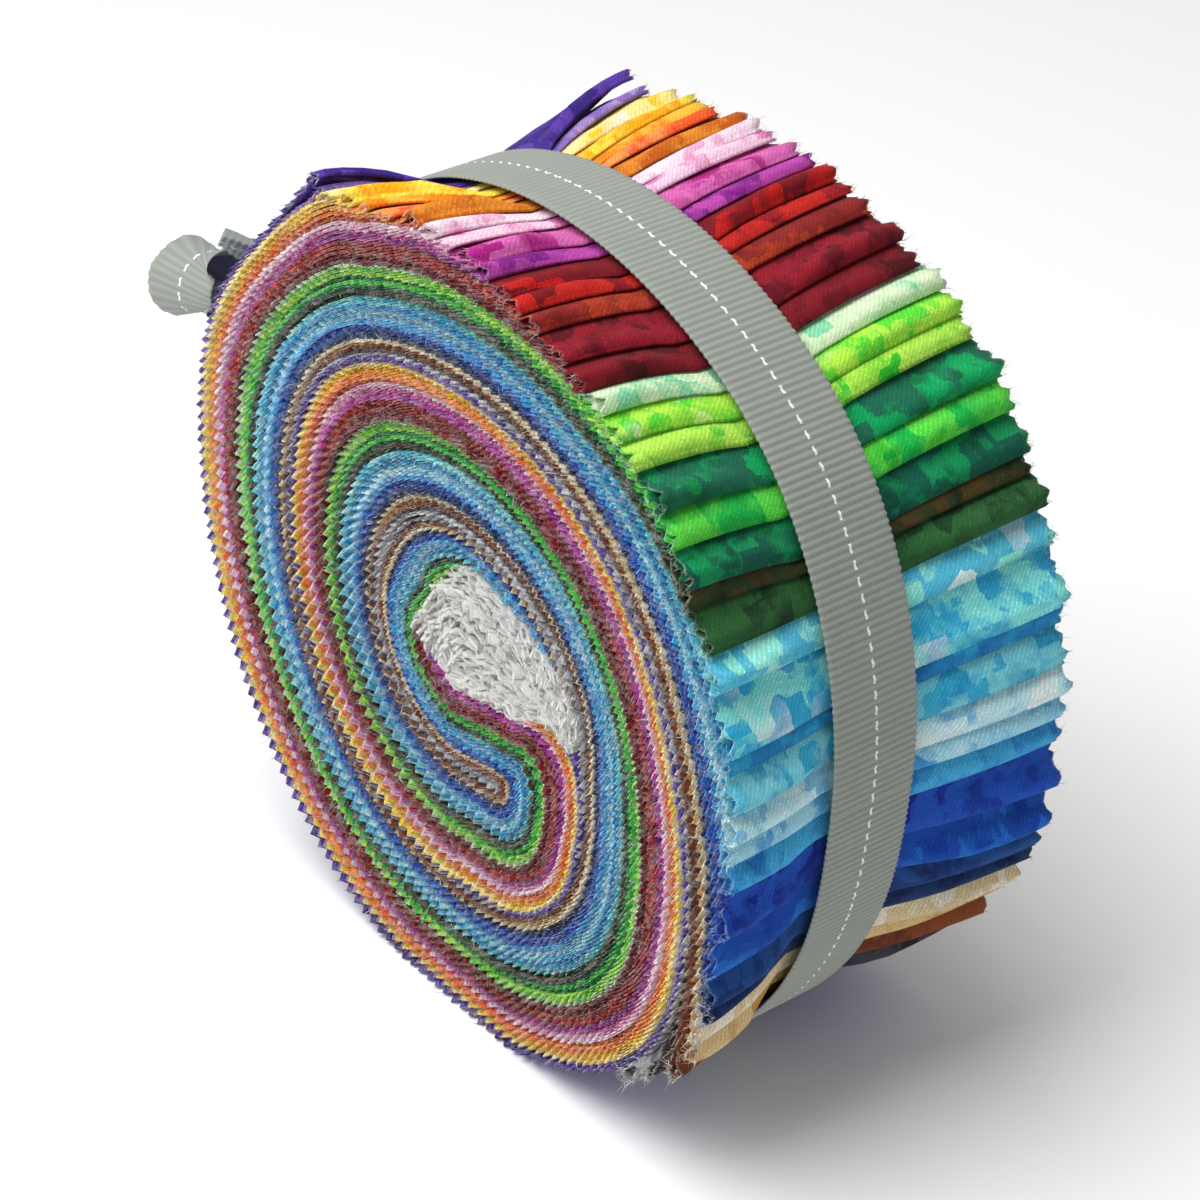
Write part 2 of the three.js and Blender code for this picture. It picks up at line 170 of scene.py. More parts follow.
# The strips from the outside of the stack to its inside: the angle of the fold end on the rim,
# the print's ground and mottle colours, and where the printed cloth gives way to white selvage
STRIPS = table("name tip near far ground mottle white", [
    ("violet", 106.4, 8.1, 9.0, "3a2180", "5c3ca6", 770),
    ("lilac", 105.9, 9.0, 7.8, "b79ad6", "8d70c2", 772),
    ("lemon", 102.9, 10.4, 3.4, "f9d63a", "fdf0a0", 780),
    ("amber", 98.9, 9.4, 4.4, "fbb21c", "f9e04e", 783),
    ("orange", 97.0, 7.6, 4.2, "f68c1a", "fbc440", 786),
    ("coral", 95.2, 5.0, 3.6, "f2602c", "f89c54", 788),
    ("rust", 91.2, 3.4, 2.3, "c65f1a", "e58c2c", 790),
    ("blush", 88.4, 2.5, 2.2, "f0b0d0", "fbe6f1", 868),
    ("rose", 85.7, 2.2, 2.2, "e27cb8", "f8cfe4", 874),
    ("magenta", 80.9, 2.1, 2.4, "b52889", "dc6cb4", 880),
    ("plum", 78.0, 2.3, 2.2, "86238c", "bb4aaa", 886),
    ("scarlet", 73.9, 2.1, 2.4, "c41f1c", "7c1622", 892),
    ("garnet", 71.3, 2.2, 2.1, "86161f", "c8261f", 896),
    ("brick", 67.8, 2.0, 1.4, "b33d1d", "8a2524", 900),
    ("wine", 62.0, 2.5, 1.8, "630f1d", "931a2a", 904),
    ("claret", 58.0, 2.4, 1.7, "56101b", "801722", 908),
    ("mint", 54.5, 2.4, 1.4, "8edcae", "dcf2c8", 975),
    ("lime", 50.8, 2.1, 1.4, "5cd83a", "b6f04e", 982),
    ("leaf", 47.6, 1.6, 1.5, "3ccc3c", "b8ee58", 988),
    ("emerald", 42.5, 1.3, 1.2, "0fa35c", "1c6a50", 994),
    ("green", 38.4, 1.2, 1.4, "1cb44a", "5cd848", 1000),
    ("forest", 33.3, 1.5, 1.4, "108c54", "0f5a48", 1004),
    ("olive", 31.5, 1.1, 0.9, "4b3d1e", "2c3a20", 1008),
    ("pine", 27.0, 0.0, 1.2, "1c3e24", "2c6032", 1012),
    ("seafoam", 22.5, 0.0, 1.4, "9df0e2", "56c0e0", 1034),
    ("aqua", 14.7, -0.6, 1.4, "8ae9e6", "38aedc", 1038),
    ("turquoise", 12.6, -0.6, 1.5, "2f9fd0", "2280c0", 1042),
    ("teal", 7.3, -0.7, 1.5, "3aaed6", "7ed6e4", 1046),
    ("ice", 3.3, -1.1, 1.2, "84c8ec", "c8f0f6", 1050),
    ("powder", 0.0, -1.0, 1.2, "5cb0e4", "a8e0f2", 1054),
    ("sky", -4.0, -1.2, 1.5, "2e86d0", "4ab4e6", 1062),
    ("cobalt", -10.5, -2.6, 1.3, "1a2c98", "2456c0", 1066),
    ("azure", -16.5, -3.8, 1.2, "2470d0", "1c50b4", 1070),
    ("navy", -21.6, -3.4, 2.4, "1a3a78", "245296", 1074),
    ("midnight", -25.3, -2.6, 2.2, "0f2254", "1a3868", 1078),
    ("cream", -30.0, -2.0, 2.6, "f2ead6", "e2cda0", 1086),
    ("tan", -34.0, -1.5, 2.4, "c99c52", "e4c68e", 1090),
    ("brown", -39.0, -1.2, 2.0, "6b3420", "8f4c2c", 1094),
    ("charcoal", -45.0, -1.0, 1.6, "28262c", "45444c", 1098),
    ("pearl", -51.0, -0.8, 1.2, "8e8e92", "cfcfd2", 1102),
])

# The space past the last fold end, how long the printed cloth takes to turn white and the white end
# to stop, and where it stops: early white starts between two places, later ones by their length
LAST_SPACING = 6
WHITE_FADE = 12
END_FADE = 26
EARLY_WHITE = {"before": 800, "ends": (880, 1060)}
WHITE_LENGTH = (90, 190)
STOP_SHORT = (2, 16)

# The strips past this one have fluffy pale fold ends at the roll's foot
FLUFFY_FROM = 33

# The strips whose print also has nearly white patches
PALE_PRINTS = ("lemon", "blush", "rose", "mint", "lime", "seafoam", "aqua", "teal", "ice", "powder")

# Rows across a strip, from its near edge to its far edge, as a share of the way from the edge to
# the ribbon, under it, and from the ribbon to the other edge
NEAR_ROWS = [0.0, 0.18, 0.36, 0.56, 0.78, 1.0]
WAIST_ROWS = [0.33, 0.67]
FAR_ROWS = [0.0, 0.14, 0.3, 0.5, 0.7, 0.87, 1.0]
EDGE_INSET = 2.9
WAIST_HALF = 8.65

# How a strip's rows leave the ribbon for the rim's flare, and how its skew follows them
FLARE = {"near": 0.08, "far": 0.93, "bend": 1.5}
SKEW_BEND = 0.8

# How the cloth stands on the rim: the lift's fade through the stack, the swelling behind a fold, the
# freedom that the ribbon leaves it, the waves of a fold and the two layers' distance
LIFT_FADE = 2.2
SWELL = {"at": 2.0, "over": 2.0, "fold": 0.3}
FREEDOM = {"held": 0.12, "gain": 1.6, "outermost": 0.35}
WAVE = {"size": 0.35, "step": 2.1, "across": 5}
LAYER_SHARE = 0.25
PUFF_SPREAD = (0.85, 1.2)

# The outermost strip's free end: how far each side of it stands off the roll, and over what length
FREE_END = {"near": {"lift": 1.8, "over": 20.0}, "far": {"lift": 1.7, "over": 34.0}}

# How uneven a strip is: its teeth and how far white ends lose them, its ragged edge in print and in
# white cotton, its flutter and its wander sideways
TOOTH_SPREAD = (0.8, 1.12)
WHITE_TOOTH_LOSS = 0.75
RAGGED = {"all": 0.09, "white": 0.12}
CRUMPLE_SIZE = 0.35
FLUTTER = {"rim": 0.22, "inside": 0.03}
SIDEWAYS = {"shift": 0.28, "wander": 0.25, "dip": 0.75}

# How far each strip's print is moved along and across from the last one's, and the lowest gap
# between cloth and floor
MAP_SHIFT = {"along": 53.0, "across": 0.7}
CLOTH_LOWEST = 0.02

# How much of a strip shows on the rim: the outermost one's length from its fold, what the others
# have past the next fold, and what is seen of a strip's inner layer
OUTERMOST_BARE = 245.0
TUCKED_UNDER = 3.5
INNER_BARE = 2.6

# The spacing of the fold ends that the outermost strip has and that the fold puff is given for
OUTERMOST_SPACING = 6.0
USUAL_SPACING = 4.5
SKEW_FADE = 30.0
TIGHT_TURN = (650, 830)

# How deep in its strip each layer lies, from the outside, and the angle that teeth are counted from
OUTER_LAYER = 0.25
INNER_LAYER = 0.75
TEETH_COUNTED_FROM = 180.0

# How far along the strip from its fold the closely spaced columns lie
FOLD_COLUMNS = [0.22, 0.5, 0.85, 1.25, 1.7, 2.2, 2.8, 3.5, 4.3, 5.2, 6.2, 7.3]

# The bow: places along the ribbon's middle line, the angle of its width above +X, and how far it
# is spread out flat
NEAR_LOOP = table("x y z slope share", [
    (-66.8, -9.3, 39.8, 59, 0.55),
    (-66.1, -13.4, 38.9, 59, 0.6),
    (-67.6, -16.6, 36.8, 57, 0.6),
    (-72.8, -21.8, 37.2, 20, 0.85),
    (-76.6, -27.2, 37.4, 10, 0.98),
    (-76.8, -31.0, 34.2, 8, 1),
    (-76.4, -31.4, 29.4, 10, 1),
    (-75.8, -28.4, 27.8, 28, 1),
    (-73.6, -23.2, 32.4, 66, 0.9),
    (-67.8, -17.8, 34.0, 62, 0.75),
    (-65.2, -13.4, 36.6, 59, 0.65),
    (-64.8, -9.3, 38.0, 59, 0.55),
])
FAR_LOOP = table("x y z slope share", [
    (-66.8, -0.8, 40.0, 59, 0.55),
    (-68.4, 2.6, 40.4, 59, 0.65),
    (-72.2, 7.0, 35.8, 64, 0.8),
    (-76.9, 12.5, 30.3, 68, 0.95),
    (-79.9, 17.5, 26.0, 72, 1),
    (-79.8, 20.8, 23.6, 74, 1),
    (-77.2, 19.8, 23.2, 73, 1),
    (-74.6, 14.5, 25.7, 71, 0.9),
    (-70.4, 8.5, 31.6, 66, 0.75),
    (-65.6, 2.6, 38.4, 59, 0.65),
    (-65.2, -0.8, 38.6, 59, 0.55),
])
NEAR_TAIL = table("x y z slope share", [
    (-61.0, -9.0, 45.6, 59, 0.45),
    (-59.8, -16.2, 44.1, 57, 0.45),
    (-61.5, -22.2, 41.8, 48, 0.45),
    (-67.0, -28.4, 45.4, 20, 0.45),
])
FAR_TAIL = table("x y z slope share", [
    (-66.9, -2.6, 36.3, 62, 0.35),
    (-69.6, -0.4, 32.5, 65, 0.35),
    (-72.6, 1.4, 27.1, 70, 0.35),
    (-77.8, 8.0, 13.7, 80, 0.55),
    (-79.8, 16.0, 0.0, 90, 0.75),
    (-79.8, 25.5, -8.4, 96, 0.85),
])

# The knot: its place and size, its mesh, and its creases, ribs and rounded ends
KNOT = {"angle": 149.0, "out": 3.1, "along": 12.0, "across": 10.0, "high": 3.3}
KNOT_MESH = {"rings": 26, "around": 96, "map": 26}
KNOT_CREASE = 0.16
KNOT_RIB = {"height": 0.12, "count": 18}
KNOT_ENDS = {"bend": 3.2, "round": 0.45, "least": 0.35}

# The camera: its bearing and height in degrees, its distance, side steps, focal length and sensor
# in millimetres, and the nearest distance that it sees, in metres
CAMERA = {"azimuth": 52.58, "elevation": 32.97, "distance": 544.5, "right": -1.003, "up": -2.444}
FOCAL_LENGTH = 100.14
SENSOR_WIDTH = 36
NEAREST_SEEN = 0.01

# The stage: area lights at places in metres, with sides in metres and powers in watts
LIGHTS = table("name at size power", [
    ("Key light", (-0.1, -0.35, 1.0), 0.8, 12.5),
    ("Face light", (-0.55, -0.95, 0.35), 0.8, 2.8),
    ("Rim light", (0.9, 0.45, 0.5), 0.7, 0.5),
])
WORLD_STRENGTH = 0.34
FLOOR_HALF = 3.0
FLOOR_COLOUR = (0.92, 0.92, 0.92, 1.0)


def linear(code):
    """A colour written as six hexadecimal digits, in the linear values that shaders take."""
    channels = [int(code[i : i + 2], 16) / 255 for i in (0, 2, 4)]
    return [c / 12.92 if c <= 0.04045 else ((c + 0.055) / 1.055) ** 2.4 for c in channels] + [1.0]


def length_setting(name, description, millimetres):
    return bpy.props.FloatProperty(
        name=name, description=description, default=millimetres * MM, unit="LENGTH"
    )


def colour_setting(name, description, colour):
    return bpy.props.FloatVectorProperty(
        name=name, description=description, default=colour, subtype="COLOR", size=4, min=0.0, max=1.0
    )


class FabricRollSettings(bpy.types.PropertyGroup):
    """Sizes and colours that a user would change."""

    strip_width: length_setting("Strip width", "Width that each strip is cut to", 63.5)
    cloth_thickness: length_setting("Cloth thickness", "Thickness of one layer of the cotton", 0.22)
    tooth_pitch: length_setting("Tooth pitch", "Distance between the points of a pinked edge", 2.4)
    tooth_depth: length_setting("Tooth depth", "Depth of a pinked edge's points", 1.3)
    fold_puff: length_setting("Fold puff", "How far a fold end swells between its layers", 1.45)
    fringe_length: length_setting("Fringe length", "Usual length of a frayed thread", 0.8)
    ribbon_width: length_setting("Ribbon width", "Width of the grosgrain ribbon", 15.9)
    rib_pitch: length_setting("Rib pitch", "Distance between the ribbon's ribs", 1.2)
    ribbon_colour: colour_setting("Ribbon colour", "Colour of the ribbon's yarn", linear("8c928a"))
    floor_colour: colour_setting("Floor colour", "Colour of the studio floor", FLOOR_COLOUR)


def smoothstep(t):
    t = np.clip(t, 0.0, 1.0)
    return t * t * (3 - 2 * t)


def passed(sweep, span):
    """How far the sweep is past a span that has a start and a length, from 0 to 1."""
    return smoothstep((sweep - span["from"]) / span["over"])


def through(places, values, at):
    """A smooth line through table values, read at one or many places."""
    places = np.asarray(places, float)
    values = np.asarray(values, float)
    steps = np.diff(places)
    rises = np.diff(values) / steps
    slopes = np.concatenate([rises[:1], (rises[:-1] + rises[1:]) / 2, rises[-1:]])
    at = np.clip(np.asarray(at, float), places[0], places[-1])
    i = np.clip(np.searchsorted(places, at, side="right") - 1, 0, len(steps) - 1)
    t = (at - places[i]) / steps[i]
    a = (1 + 2 * t) * (1 - t) ** 2 * values[i]
    b = t * (1 - t) ** 2 * steps[i] * slopes[i]
    c = t * t * (3 - 2 * t) * values[i + 1]
    d = t * t * (t - 1) * steps[i] * slopes[i + 1]
    return a + b + c + d


def look_up(rows, name, at, key="angle"):
    """One column of a table, read smoothly at places of another."""
    return through(column(rows, key), column(rows, name), at)


def rim_radius(angle, edge):
    """Radius of the roll's outside, flattened where it stands on the floor."""
    angles = column(RIM, "angle")
    values = column(RIM, edge)
    turned = (np.asarray(angle, float) - angles[0]) % 360 + angles[0]
    wrapped = [angles[-1] - 360] + angles + [angles[0] + 360, angles[1] + 360]
    read = through(wrapped, [values[-1]] + values + [values[0], values[1]], turned)
    down = np.maximum(-np.sin(np.radians(turned)), 0.2)
    return np.minimum(read, (AXIS_HEIGHT - FLOOR_ROOM[edge]) / down)


def ribbon_middle(angle):
    """Place along the axis of the ribbon's middle line."""
    turned = (np.asarray(angle, float) - RIBBON_BOW_AT + 180) % 360 - 180
    return RIBBON_MIDDLE + RIBBON_BOW * np.exp(-((turned / RIBBON_BOW_SPREAD) ** 2))


def distances_along(line):
    """Length of a line of points from its first point to each of them."""
    steps = np.linalg.norm(np.diff(line, axis=0), axis=1)
    return np.concatenate([[0], np.cumsum(steps)])


def polar(angle, radius):
    a = np.radians(angle)
    return np.stack([radius * np.cos(a), radius * np.sin(a)], axis=-1)


class Winding:
    """The stack's path: for each sweep position, the points on its outer and inner sides."""

    def __init__(self):
        self.sweep = np.arange(SWEEP_START, SWEEP_END + 0.25, 0.5)
        w = self.sweep
        rim = {edge: rim_radius(w, edge) for edge in EDGES}
        fan = 1 - passed(w, FAN)
        leaving = passed(w, LEAVING_RIM)
        outer_radius = rim["waist"] - UNDER_RIBBON - FAN["depth"] * fan
        outer_radius = outer_radius * (1 - leaving) + look_up(SWIRL, "radius", w) * leaving
        self.flare = {
            edge: np.where(w < FLARE_END, (rim[edge] - rim["waist"]) * (1 - leaving), 0.0)
            for edge in EDGES
        }
        tucked = passed(w, LAST_OUTER_TURN)
        next_turn = look_up(SWIRL, "radius", w + 360) - TURN_GAP
        inner_radius = next_turn * (1 - tucked) + look_up(FOLD_BACK, "radius", w) * tucked
        outer = polar(w, outer_radius)
        inner = polar(w, inner_radius)

        down = w >= RUN_DOWN["from"]
        step = np.clip((w[down] - RUN_DOWN["from"]) / RUN_DOWN["over"], 0, 1)
        for line, side in ((outer, "outer"), (inner, "inner")):
            rise = RUN_DOWN[side] + RUN_DOWN["rise"] * step
            line[down] = np.stack([RUN_DOWN["across"] * step, rise], axis=-1)

        hook = (w >= HOOK["from"]) & (w <= HOOK["to"])
        ray = w[hook] - HOOK["from"] - 90
        reach = look_up(HOOK_REACH, "reach", ray, "ray")
        pivot = np.array([HOOK["x"], HOOK["z"]])
        outer[hook] = pivot + polar(ray, reach)
        inner[hook] = pivot + polar(ray, HOOK["core"])

        home = w > HOOK["to"]
        x, z, line = [look_up(RETURN, name, w[home], "sweep") for name in ("x", "z", "back")]
        outer[home] = np.stack([x, z], axis=-1)
        inner[home] = polar(line, look_up(FOLD_BACK, "radius", line) - FOLD_BACK_GAP)

        self.outer = outer
        self.inner = inner
        self.weights = self.strip_weights()
        total = self.weights.sum(axis=0)
        before = np.cumsum(self.weights, axis=0) - self.weights
        self.share = self.weights / total
        self.place = before / total

    def strip_weights(self):
        """How much of the stack's depth each strip takes at each sweep position."""
        w = self.sweep
        tips = column(STRIPS, "tip") + [STRIPS[-1]["tip"] - LAST_SPACING]
        rows = []
        for i, strip in enumerate(STRIPS):
            coming = np.clip((w - tips[i + 1]) / (tips[i] - tips[i + 1]), 0, 1)
            end = selvage_end(i)
            going = 1 - smoothstep((w - end) / END_FADE)
            white = smoothstep((w - strip["white"]) / WHITE_FADE)
            room = 1 + white * (look_up(CRUMPLE, "room", w, "sweep") - 1)
            rows.append(np.maximum(coming * going * room, 1e-4))
        return np.array(rows)

    def layer(self, strip, part):
        """The sweep positions and middle line of one layer, and the outward direction there."""
        depth = self.place[strip] + part * self.share[strip]
        across = self.inner - self.outer
        line = self.outer + depth[:, None] * across
        length = np.linalg.norm(across, axis=1, keepdims=True)
        return line, -across / length, depth, self.share[strip] * length[:, 0]


def selvage_end(index):
    """Sweep position at which a strip's white end stops."""
    rng = random.Random(SEED + 7 * index)
    white = STRIPS[index]["white"]
    if white < EARLY_WHITE["before"]:
        return rng.uniform(*EARLY_WHITE["ends"])
    return min(white + rng.uniform(*WHITE_LENGTH), SWEEP_END - rng.uniform(*STOP_SHORT))


def row_places(angle, width):
    """Places along the axis of a strip's rows, its flare share and its freedom to puff."""
    middle = ribbon_middle(angle)
    half = width / 2
    near_waist = middle - WAIST_HALF
    far_waist = middle + WAIST_HALF
    inner_near = -half + EDGE_INSET
    inner_far = half - EDGE_INSET
    places = [np.full_like(middle, -half)]
    flare = [1.0]
    for share in NEAR_ROWS:
        places.append(inner_near + (near_waist - inner_near) * share)
        flare.append(1 - (FLARE["near"] + (1 - FLARE["near"]) * share) ** FLARE["bend"])
    for share in WAIST_ROWS:
        places.append(near_waist + (far_waist - near_waist) * share)
        flare.append(0.0)
    for share in FAR_ROWS:
        places.append(far_waist + (inner_far - far_waist) * share)
        flare.append(1 - (1 - FLARE["far"] * share) ** FLARE["bend"])
    places.append(np.full_like(middle, half))
    flare.append(1.0)
    return np.stack(places, axis=1), np.clip(np.array(flare), 0, 1)


ROW_COUNT = len(NEAR_ROWS) + len(WAIST_ROWS) + len(FAR_ROWS) + 2
NEAR_WAIST_ROW = len(NEAR_ROWS)
FAR_WAIST_ROW = NEAR_WAIST_ROW + len(WAIST_ROWS) + 1
SPARSE_ROWS = [1, NEAR_WAIST_ROW, FAR_WAIST_ROW, ROW_COUNT - 2]
DENSE_ROWS = list(range(1, ROW_COUNT - 1))
NEAR_SIDE = np.arange(ROW_COUNT) <= NEAR_WAIST_ROW


class Strip:
    """One folded strip: columns of points from its inner end round its fold and back again."""

    def __init__(self, winding, index, settings):
        self.index = index
        self.rng = np.random.default_rng(SEED + index)
        self.width = settings.strip_width / MM
        self.cloth = settings.cloth_thickness / MM
        self.pitch = settings.tooth_pitch / MM
        self.depth = settings.tooth_depth / MM
        self.row = STRIPS[index]
        self.tip = self.row["tip"]
        spacing = OUTERMOST_SPACING
        self.bare = OUTERMOST_BARE
        if index > 0:
            spacing = math.radians(STRIPS[index - 1]["tip"] - self.tip) * MEAN_RIM
            self.bare = spacing + TUCKED_UNDER
        room = min(max(spacing / USUAL_SPACING, 0.5), 1.2)
        self.puff = settings.fold_puff / MM * room * self.rng.uniform(*PUFF_SPREAD)
        self.end = selvage_end(index)
        self.columns = self.lay_columns(winding)
        self.points, self.normals = self.place_points(winding)

    def lay_columns(self, winding):
        """Where along both layers the columns stand, and which of them have many rows."""
        columns = []
        inside = (winding.sweep >= self.tip) & (winding.sweep <= self.end)
        sweep = winding.sweep[inside]
        first = FOLD_COLUMNS[-1] + 0.5
        half_tooth = self.pitch / 2
        for part, side in ((INNER_LAYER, -1), (OUTER_LAYER, 1)):
            arc = distances_along(winding.layer(self.index, part)[0][inside])
            reference = np.interp(TEETH_COUNTED_FROM, sweep, arc)
            start = math.ceil((first - reference) / half_tooth)
            stop = math.floor((arc[-1] - 0.3 - reference) / half_tooth)
            distances = list(FOLD_COLUMNS)
            teeth = [self.tooth(d - reference) for d in FOLD_COLUMNS]
            for n in range(start, stop + 1):
                distances.append(reference + n * half_tooth)
                teeth.append(float(n % 2))
            distances = np.array(distances)
            made = {
                "d": distances,
                "tooth": np.array(teeth),
                "sweep": np.interp(distances, arc, sweep),
                "side": np.full(len(distances), side),
            }
            if side < 0:
                made = {key: value[::-1] for key, value in made.items()}
            columns.append(made)
        nose = {
            "d": np.array([0.0]),
            "tooth": np.array([0.5]),
            "sweep": np.array([self.tip]),
            "side": np.array([0]),
        }
        order = [columns[0], nose, columns[1]]
        merged = {key: np.concatenate([run[key] for run in order]) for key in nose}
        bare = np.where(merged["side"] > 0, self.bare, INNER_BARE)
        merged["dense"] = merged["d"] <= bare
        tight = (merged["sweep"] > TIGHT_TURN[0]) & (merged["sweep"] < TIGHT_TURN[1])
        number = np.arange(len(merged["d"]))
        merged["anchor"] = merged["dense"] | (number % 3 == 0) | (tight & (number % 2 == 0))
        merged["anchor"][[0, -1]] = True
        return merged

    def tooth(self, distance):
        """Height of the pinked edge's zigzag, from 0 to 1."""
        phase = (distance / self.pitch) % 1.0
        return 2 * abs(phase - 0.5)

    def place_points(self, winding):
        """The cloth's middle surface, and the way it faces, at every column and row."""
        c = self.columns
        rows_y, flare = row_places(c["sweep"], self.width)
        skew = np.where(NEAR_SIDE, self.row["near"], self.row["far"]) * flare**SKEW_BEND
        fade = np.exp(-c["d"] / SKEW_FADE)
        turned = c["sweep"][:, None] + skew[None, :] * fade[:, None]
        turned = np.clip(turned, SWEEP_START, SWEEP_END)

        def read(values):
            return np.interp(turned, winding.sweep, values)

        middle, outward, deep, room = winding.layer(self.index, 0.5)
        centre = np.stack([read(middle[:, 0]), read(middle[:, 1])], axis=-1)
        out = np.stack([read(outward[:, 0]), read(outward[:, 1])], axis=-1)
        out /= np.linalg.norm(out, axis=-1, keepdims=True)
        gap = read(room)
        rise = np.where(NEAR_SIDE, read(winding.flare["near"]), read(winding.flare["far"]))
        lifted = rise * flare[None, :] * (1 - read(deep)) ** LIFT_FADE

        nose = np.sqrt(1 - (1 - np.clip(c["d"] / 1.0, 0, 1)) ** 2)[:, None]
        side = c["side"][:, None]
        swell = np.exp(-(((c["d"] - SWELL["at"]) / SWELL["over"]) ** 2))[:, None]
        held = FREEDOM["held"]
        freedom = (held + (1 - held) * smoothstep(flare * FREEDOM["gain"]))[None, :]
        turns = self.index * WAVE["step"] + np.linspace(0, WAVE["across"], ROW_COUNT)
        wave = 1 + WAVE["size"] * np.sin(turns)[None, :]
        layer = side * gap * LAYER_SHARE * nose
        if self.index == 0:
            freedom = np.where(NEAR_SIDE, FREEDOM["outermost"], 1.0)[None, :] * freedom
        layer += np.where(side >= 0, self.puff * swell * nose * freedom * wave, 0.0)
        layer = np.where(side == 0, self.puff * SWELL["fold"] * freedom, layer)
        offset = lifted + self.free_end_lift(c["d"], flare) + layer
        offset += self.edge_flutter(c, flare)
        points = centre + out * offset[..., None]

        white = smoothstep((c["sweep"] - self.row["white"]) / 8)
        crumple = white[:, None] * CRUMPLE_SIZE
        points[..., 0] += crumple * np.sin(c["d"] * 1.3 + self.index)[:, None]
        points[..., 1] += crumple * np.cos(c["d"] * 1.7 + 2 * self.index)[:, None]

        y = rows_y + self.sideways(c, white)
        count = len(c["d"])
        tooth = c["tooth"] * self.depth * self.rng.uniform(*TOOTH_SPREAD, count)
        tooth = tooth * (1 - WHITE_TOOTH_LOSS * white)
        ragged = self.rng.normal(0, RAGGED["all"], (count, 2))
        ragged = ragged + white[:, None] * self.rng.normal(0, RAGGED["white"], (count, 2))
        y[:, 0] += tooth + ragged[:, 0]
        y[:, -1] -= tooth + ragged[:, 1]

        tangent = np.gradient(points, axis=0)
        tangent /= np.maximum(np.linalg.norm(tangent, axis=-1, keepdims=True), 1e-9)
        normal = np.stack([tangent[..., 1], -tangent[..., 0]], axis=-1)
        facing = np.sign((normal[-40:] * out[-40:]).sum())
        normal *= facing
        self.y = y
        self.white = white
        return points, normal

    def free_end_lift(self, distance, flare):
        """The outermost strip's end stands off the roll beyond the ribbon."""
        if self.index > 0:
            return 0.0
        near, far = FREE_END["near"], FREE_END["far"]
        height = np.where(NEAR_SIDE, near["lift"], far["lift"]) * flare
        fall = np.where(NEAR_SIDE, near["over"], far["over"])
        return height[None, :] * (1 - smoothstep(distance[:, None] / fall[None, :]))

    def edge_flutter(self, c, flare):
        """Small waves of the free edges on the rim, and smaller ones inside the stack."""
        size = np.where(c["dense"], FLUTTER["rim"], FLUTTER["inside"])[:, None] * flare[None, :] ** 3
        near = np.sin(c["d"] * 0.9 + self.index * 1.9)[:, None]
        far = np.sin(c["d"] * 0.8 + self.index * 2.7)[:, None]
        return size * np.where(NEAR_SIDE, near, far)

    def sideways(self, c, white):
        """How far the strip wanders along the roll's axis as it is wound."""
        shift = self.rng.normal(0, SIDEWAYS["shift"])
        wander = SIDEWAYS["wander"] * np.sin(c["d"] / 37.0 + self.index * 1.3)
        lump = np.sin(c["d"] * 1.9 + 2.4 * self.index) * np.sin(c["d"] * 0.7 + self.index)
        dip = -SIDEWAYS["dip"] * white * lump
        return (shift + wander + dip)[:, None]

    def mesh(self, name):
        """The closed sheet: both faces of the cloth, its pinked edges and its two ends."""
        c = self.columns
        count = len(c["d"])
        rows = [DENSE_ROWS if c["dense"][i] else SPARSE_ROWS for i in range(count)]
        used = np.zeros((count, ROW_COUNT), bool)
        used[:, [0, -1]] = True
        for i in np.flatnonzero(c["anchor"]):
            used[i, rows[i]] = True
        number = np.full((count, ROW_COUNT), -1)
        number[used] = np.arange(used.sum())
        lumps = 1 + self.white * (1.3 + 0.9 * np.sin(c["d"] * 2.3 + self.index))
        half = np.repeat(self.cloth / 2 * lumps[:, None], ROW_COUNT, axis=1)[used][:, None]
        xz = self.points[used]
        n = self.normals[used]
        y = self.y[used]
        faces_xyz = []
        for sign, lowest in ((1, CLOTH_LOWEST), (-1, CLOTH_LOWEST + self.cloth)):
            p = xz + sign * half * n
            p[:, 1] = np.maximum(p[:, 1], -AXIS_HEIGHT + lowest)
            faces_xyz.append(np.stack([p[:, 0] + AXIS_X, y, p[:, 1] + AXIS_HEIGHT], axis=1))
        vertices = np.concatenate(faces_xyz) * MM
        back = int(used.sum())

        polygons = []
        anchors = np.flatnonzero(c["anchor"])
        last = ROW_COUNT - 1
        for a, b in zip(anchors[:-1], anchors[1:]):
            between = list(range(a, b + 1))
            outlines = [
                [number[a, 1], number[b, 1]] + [number[i, 0] for i in reversed(between)],
                [number[i, last] for i in between] + [number[b, last - 1], number[a, last - 1]],
            ]
            coarse = SPARSE_ROWS if len(rows[a]) != len(rows[b]) else rows[a]
            for low, high in zip(coarse[:-1], coarse[1:]):
                side_a = [number[a, r] for r in rows[a] if low <= r <= high]
                side_b = [number[b, r] for r in rows[b] if low <= r <= high]
                outlines.append(side_b[::-1] + side_a)
            for outline in outlines:
                polygons.append(outline)
                polygons.append([v + back for v in reversed(outline)])
        walls_from = len(polygons)
        for i in range(count - 1):
            for a, b in ((number[i, 0], number[i + 1, 0]), (number[i + 1, last], number[i, last])):
                polygons.append([a, b, b + back, a + back])
        for i, turn in ((0, 1), (count - 1, -1)):
            line = [number[i, r] for r in [0] + rows[i] + [last]]
            ring = line + [v + back for v in reversed(line)]
            polygons.append(ring[::-turn])

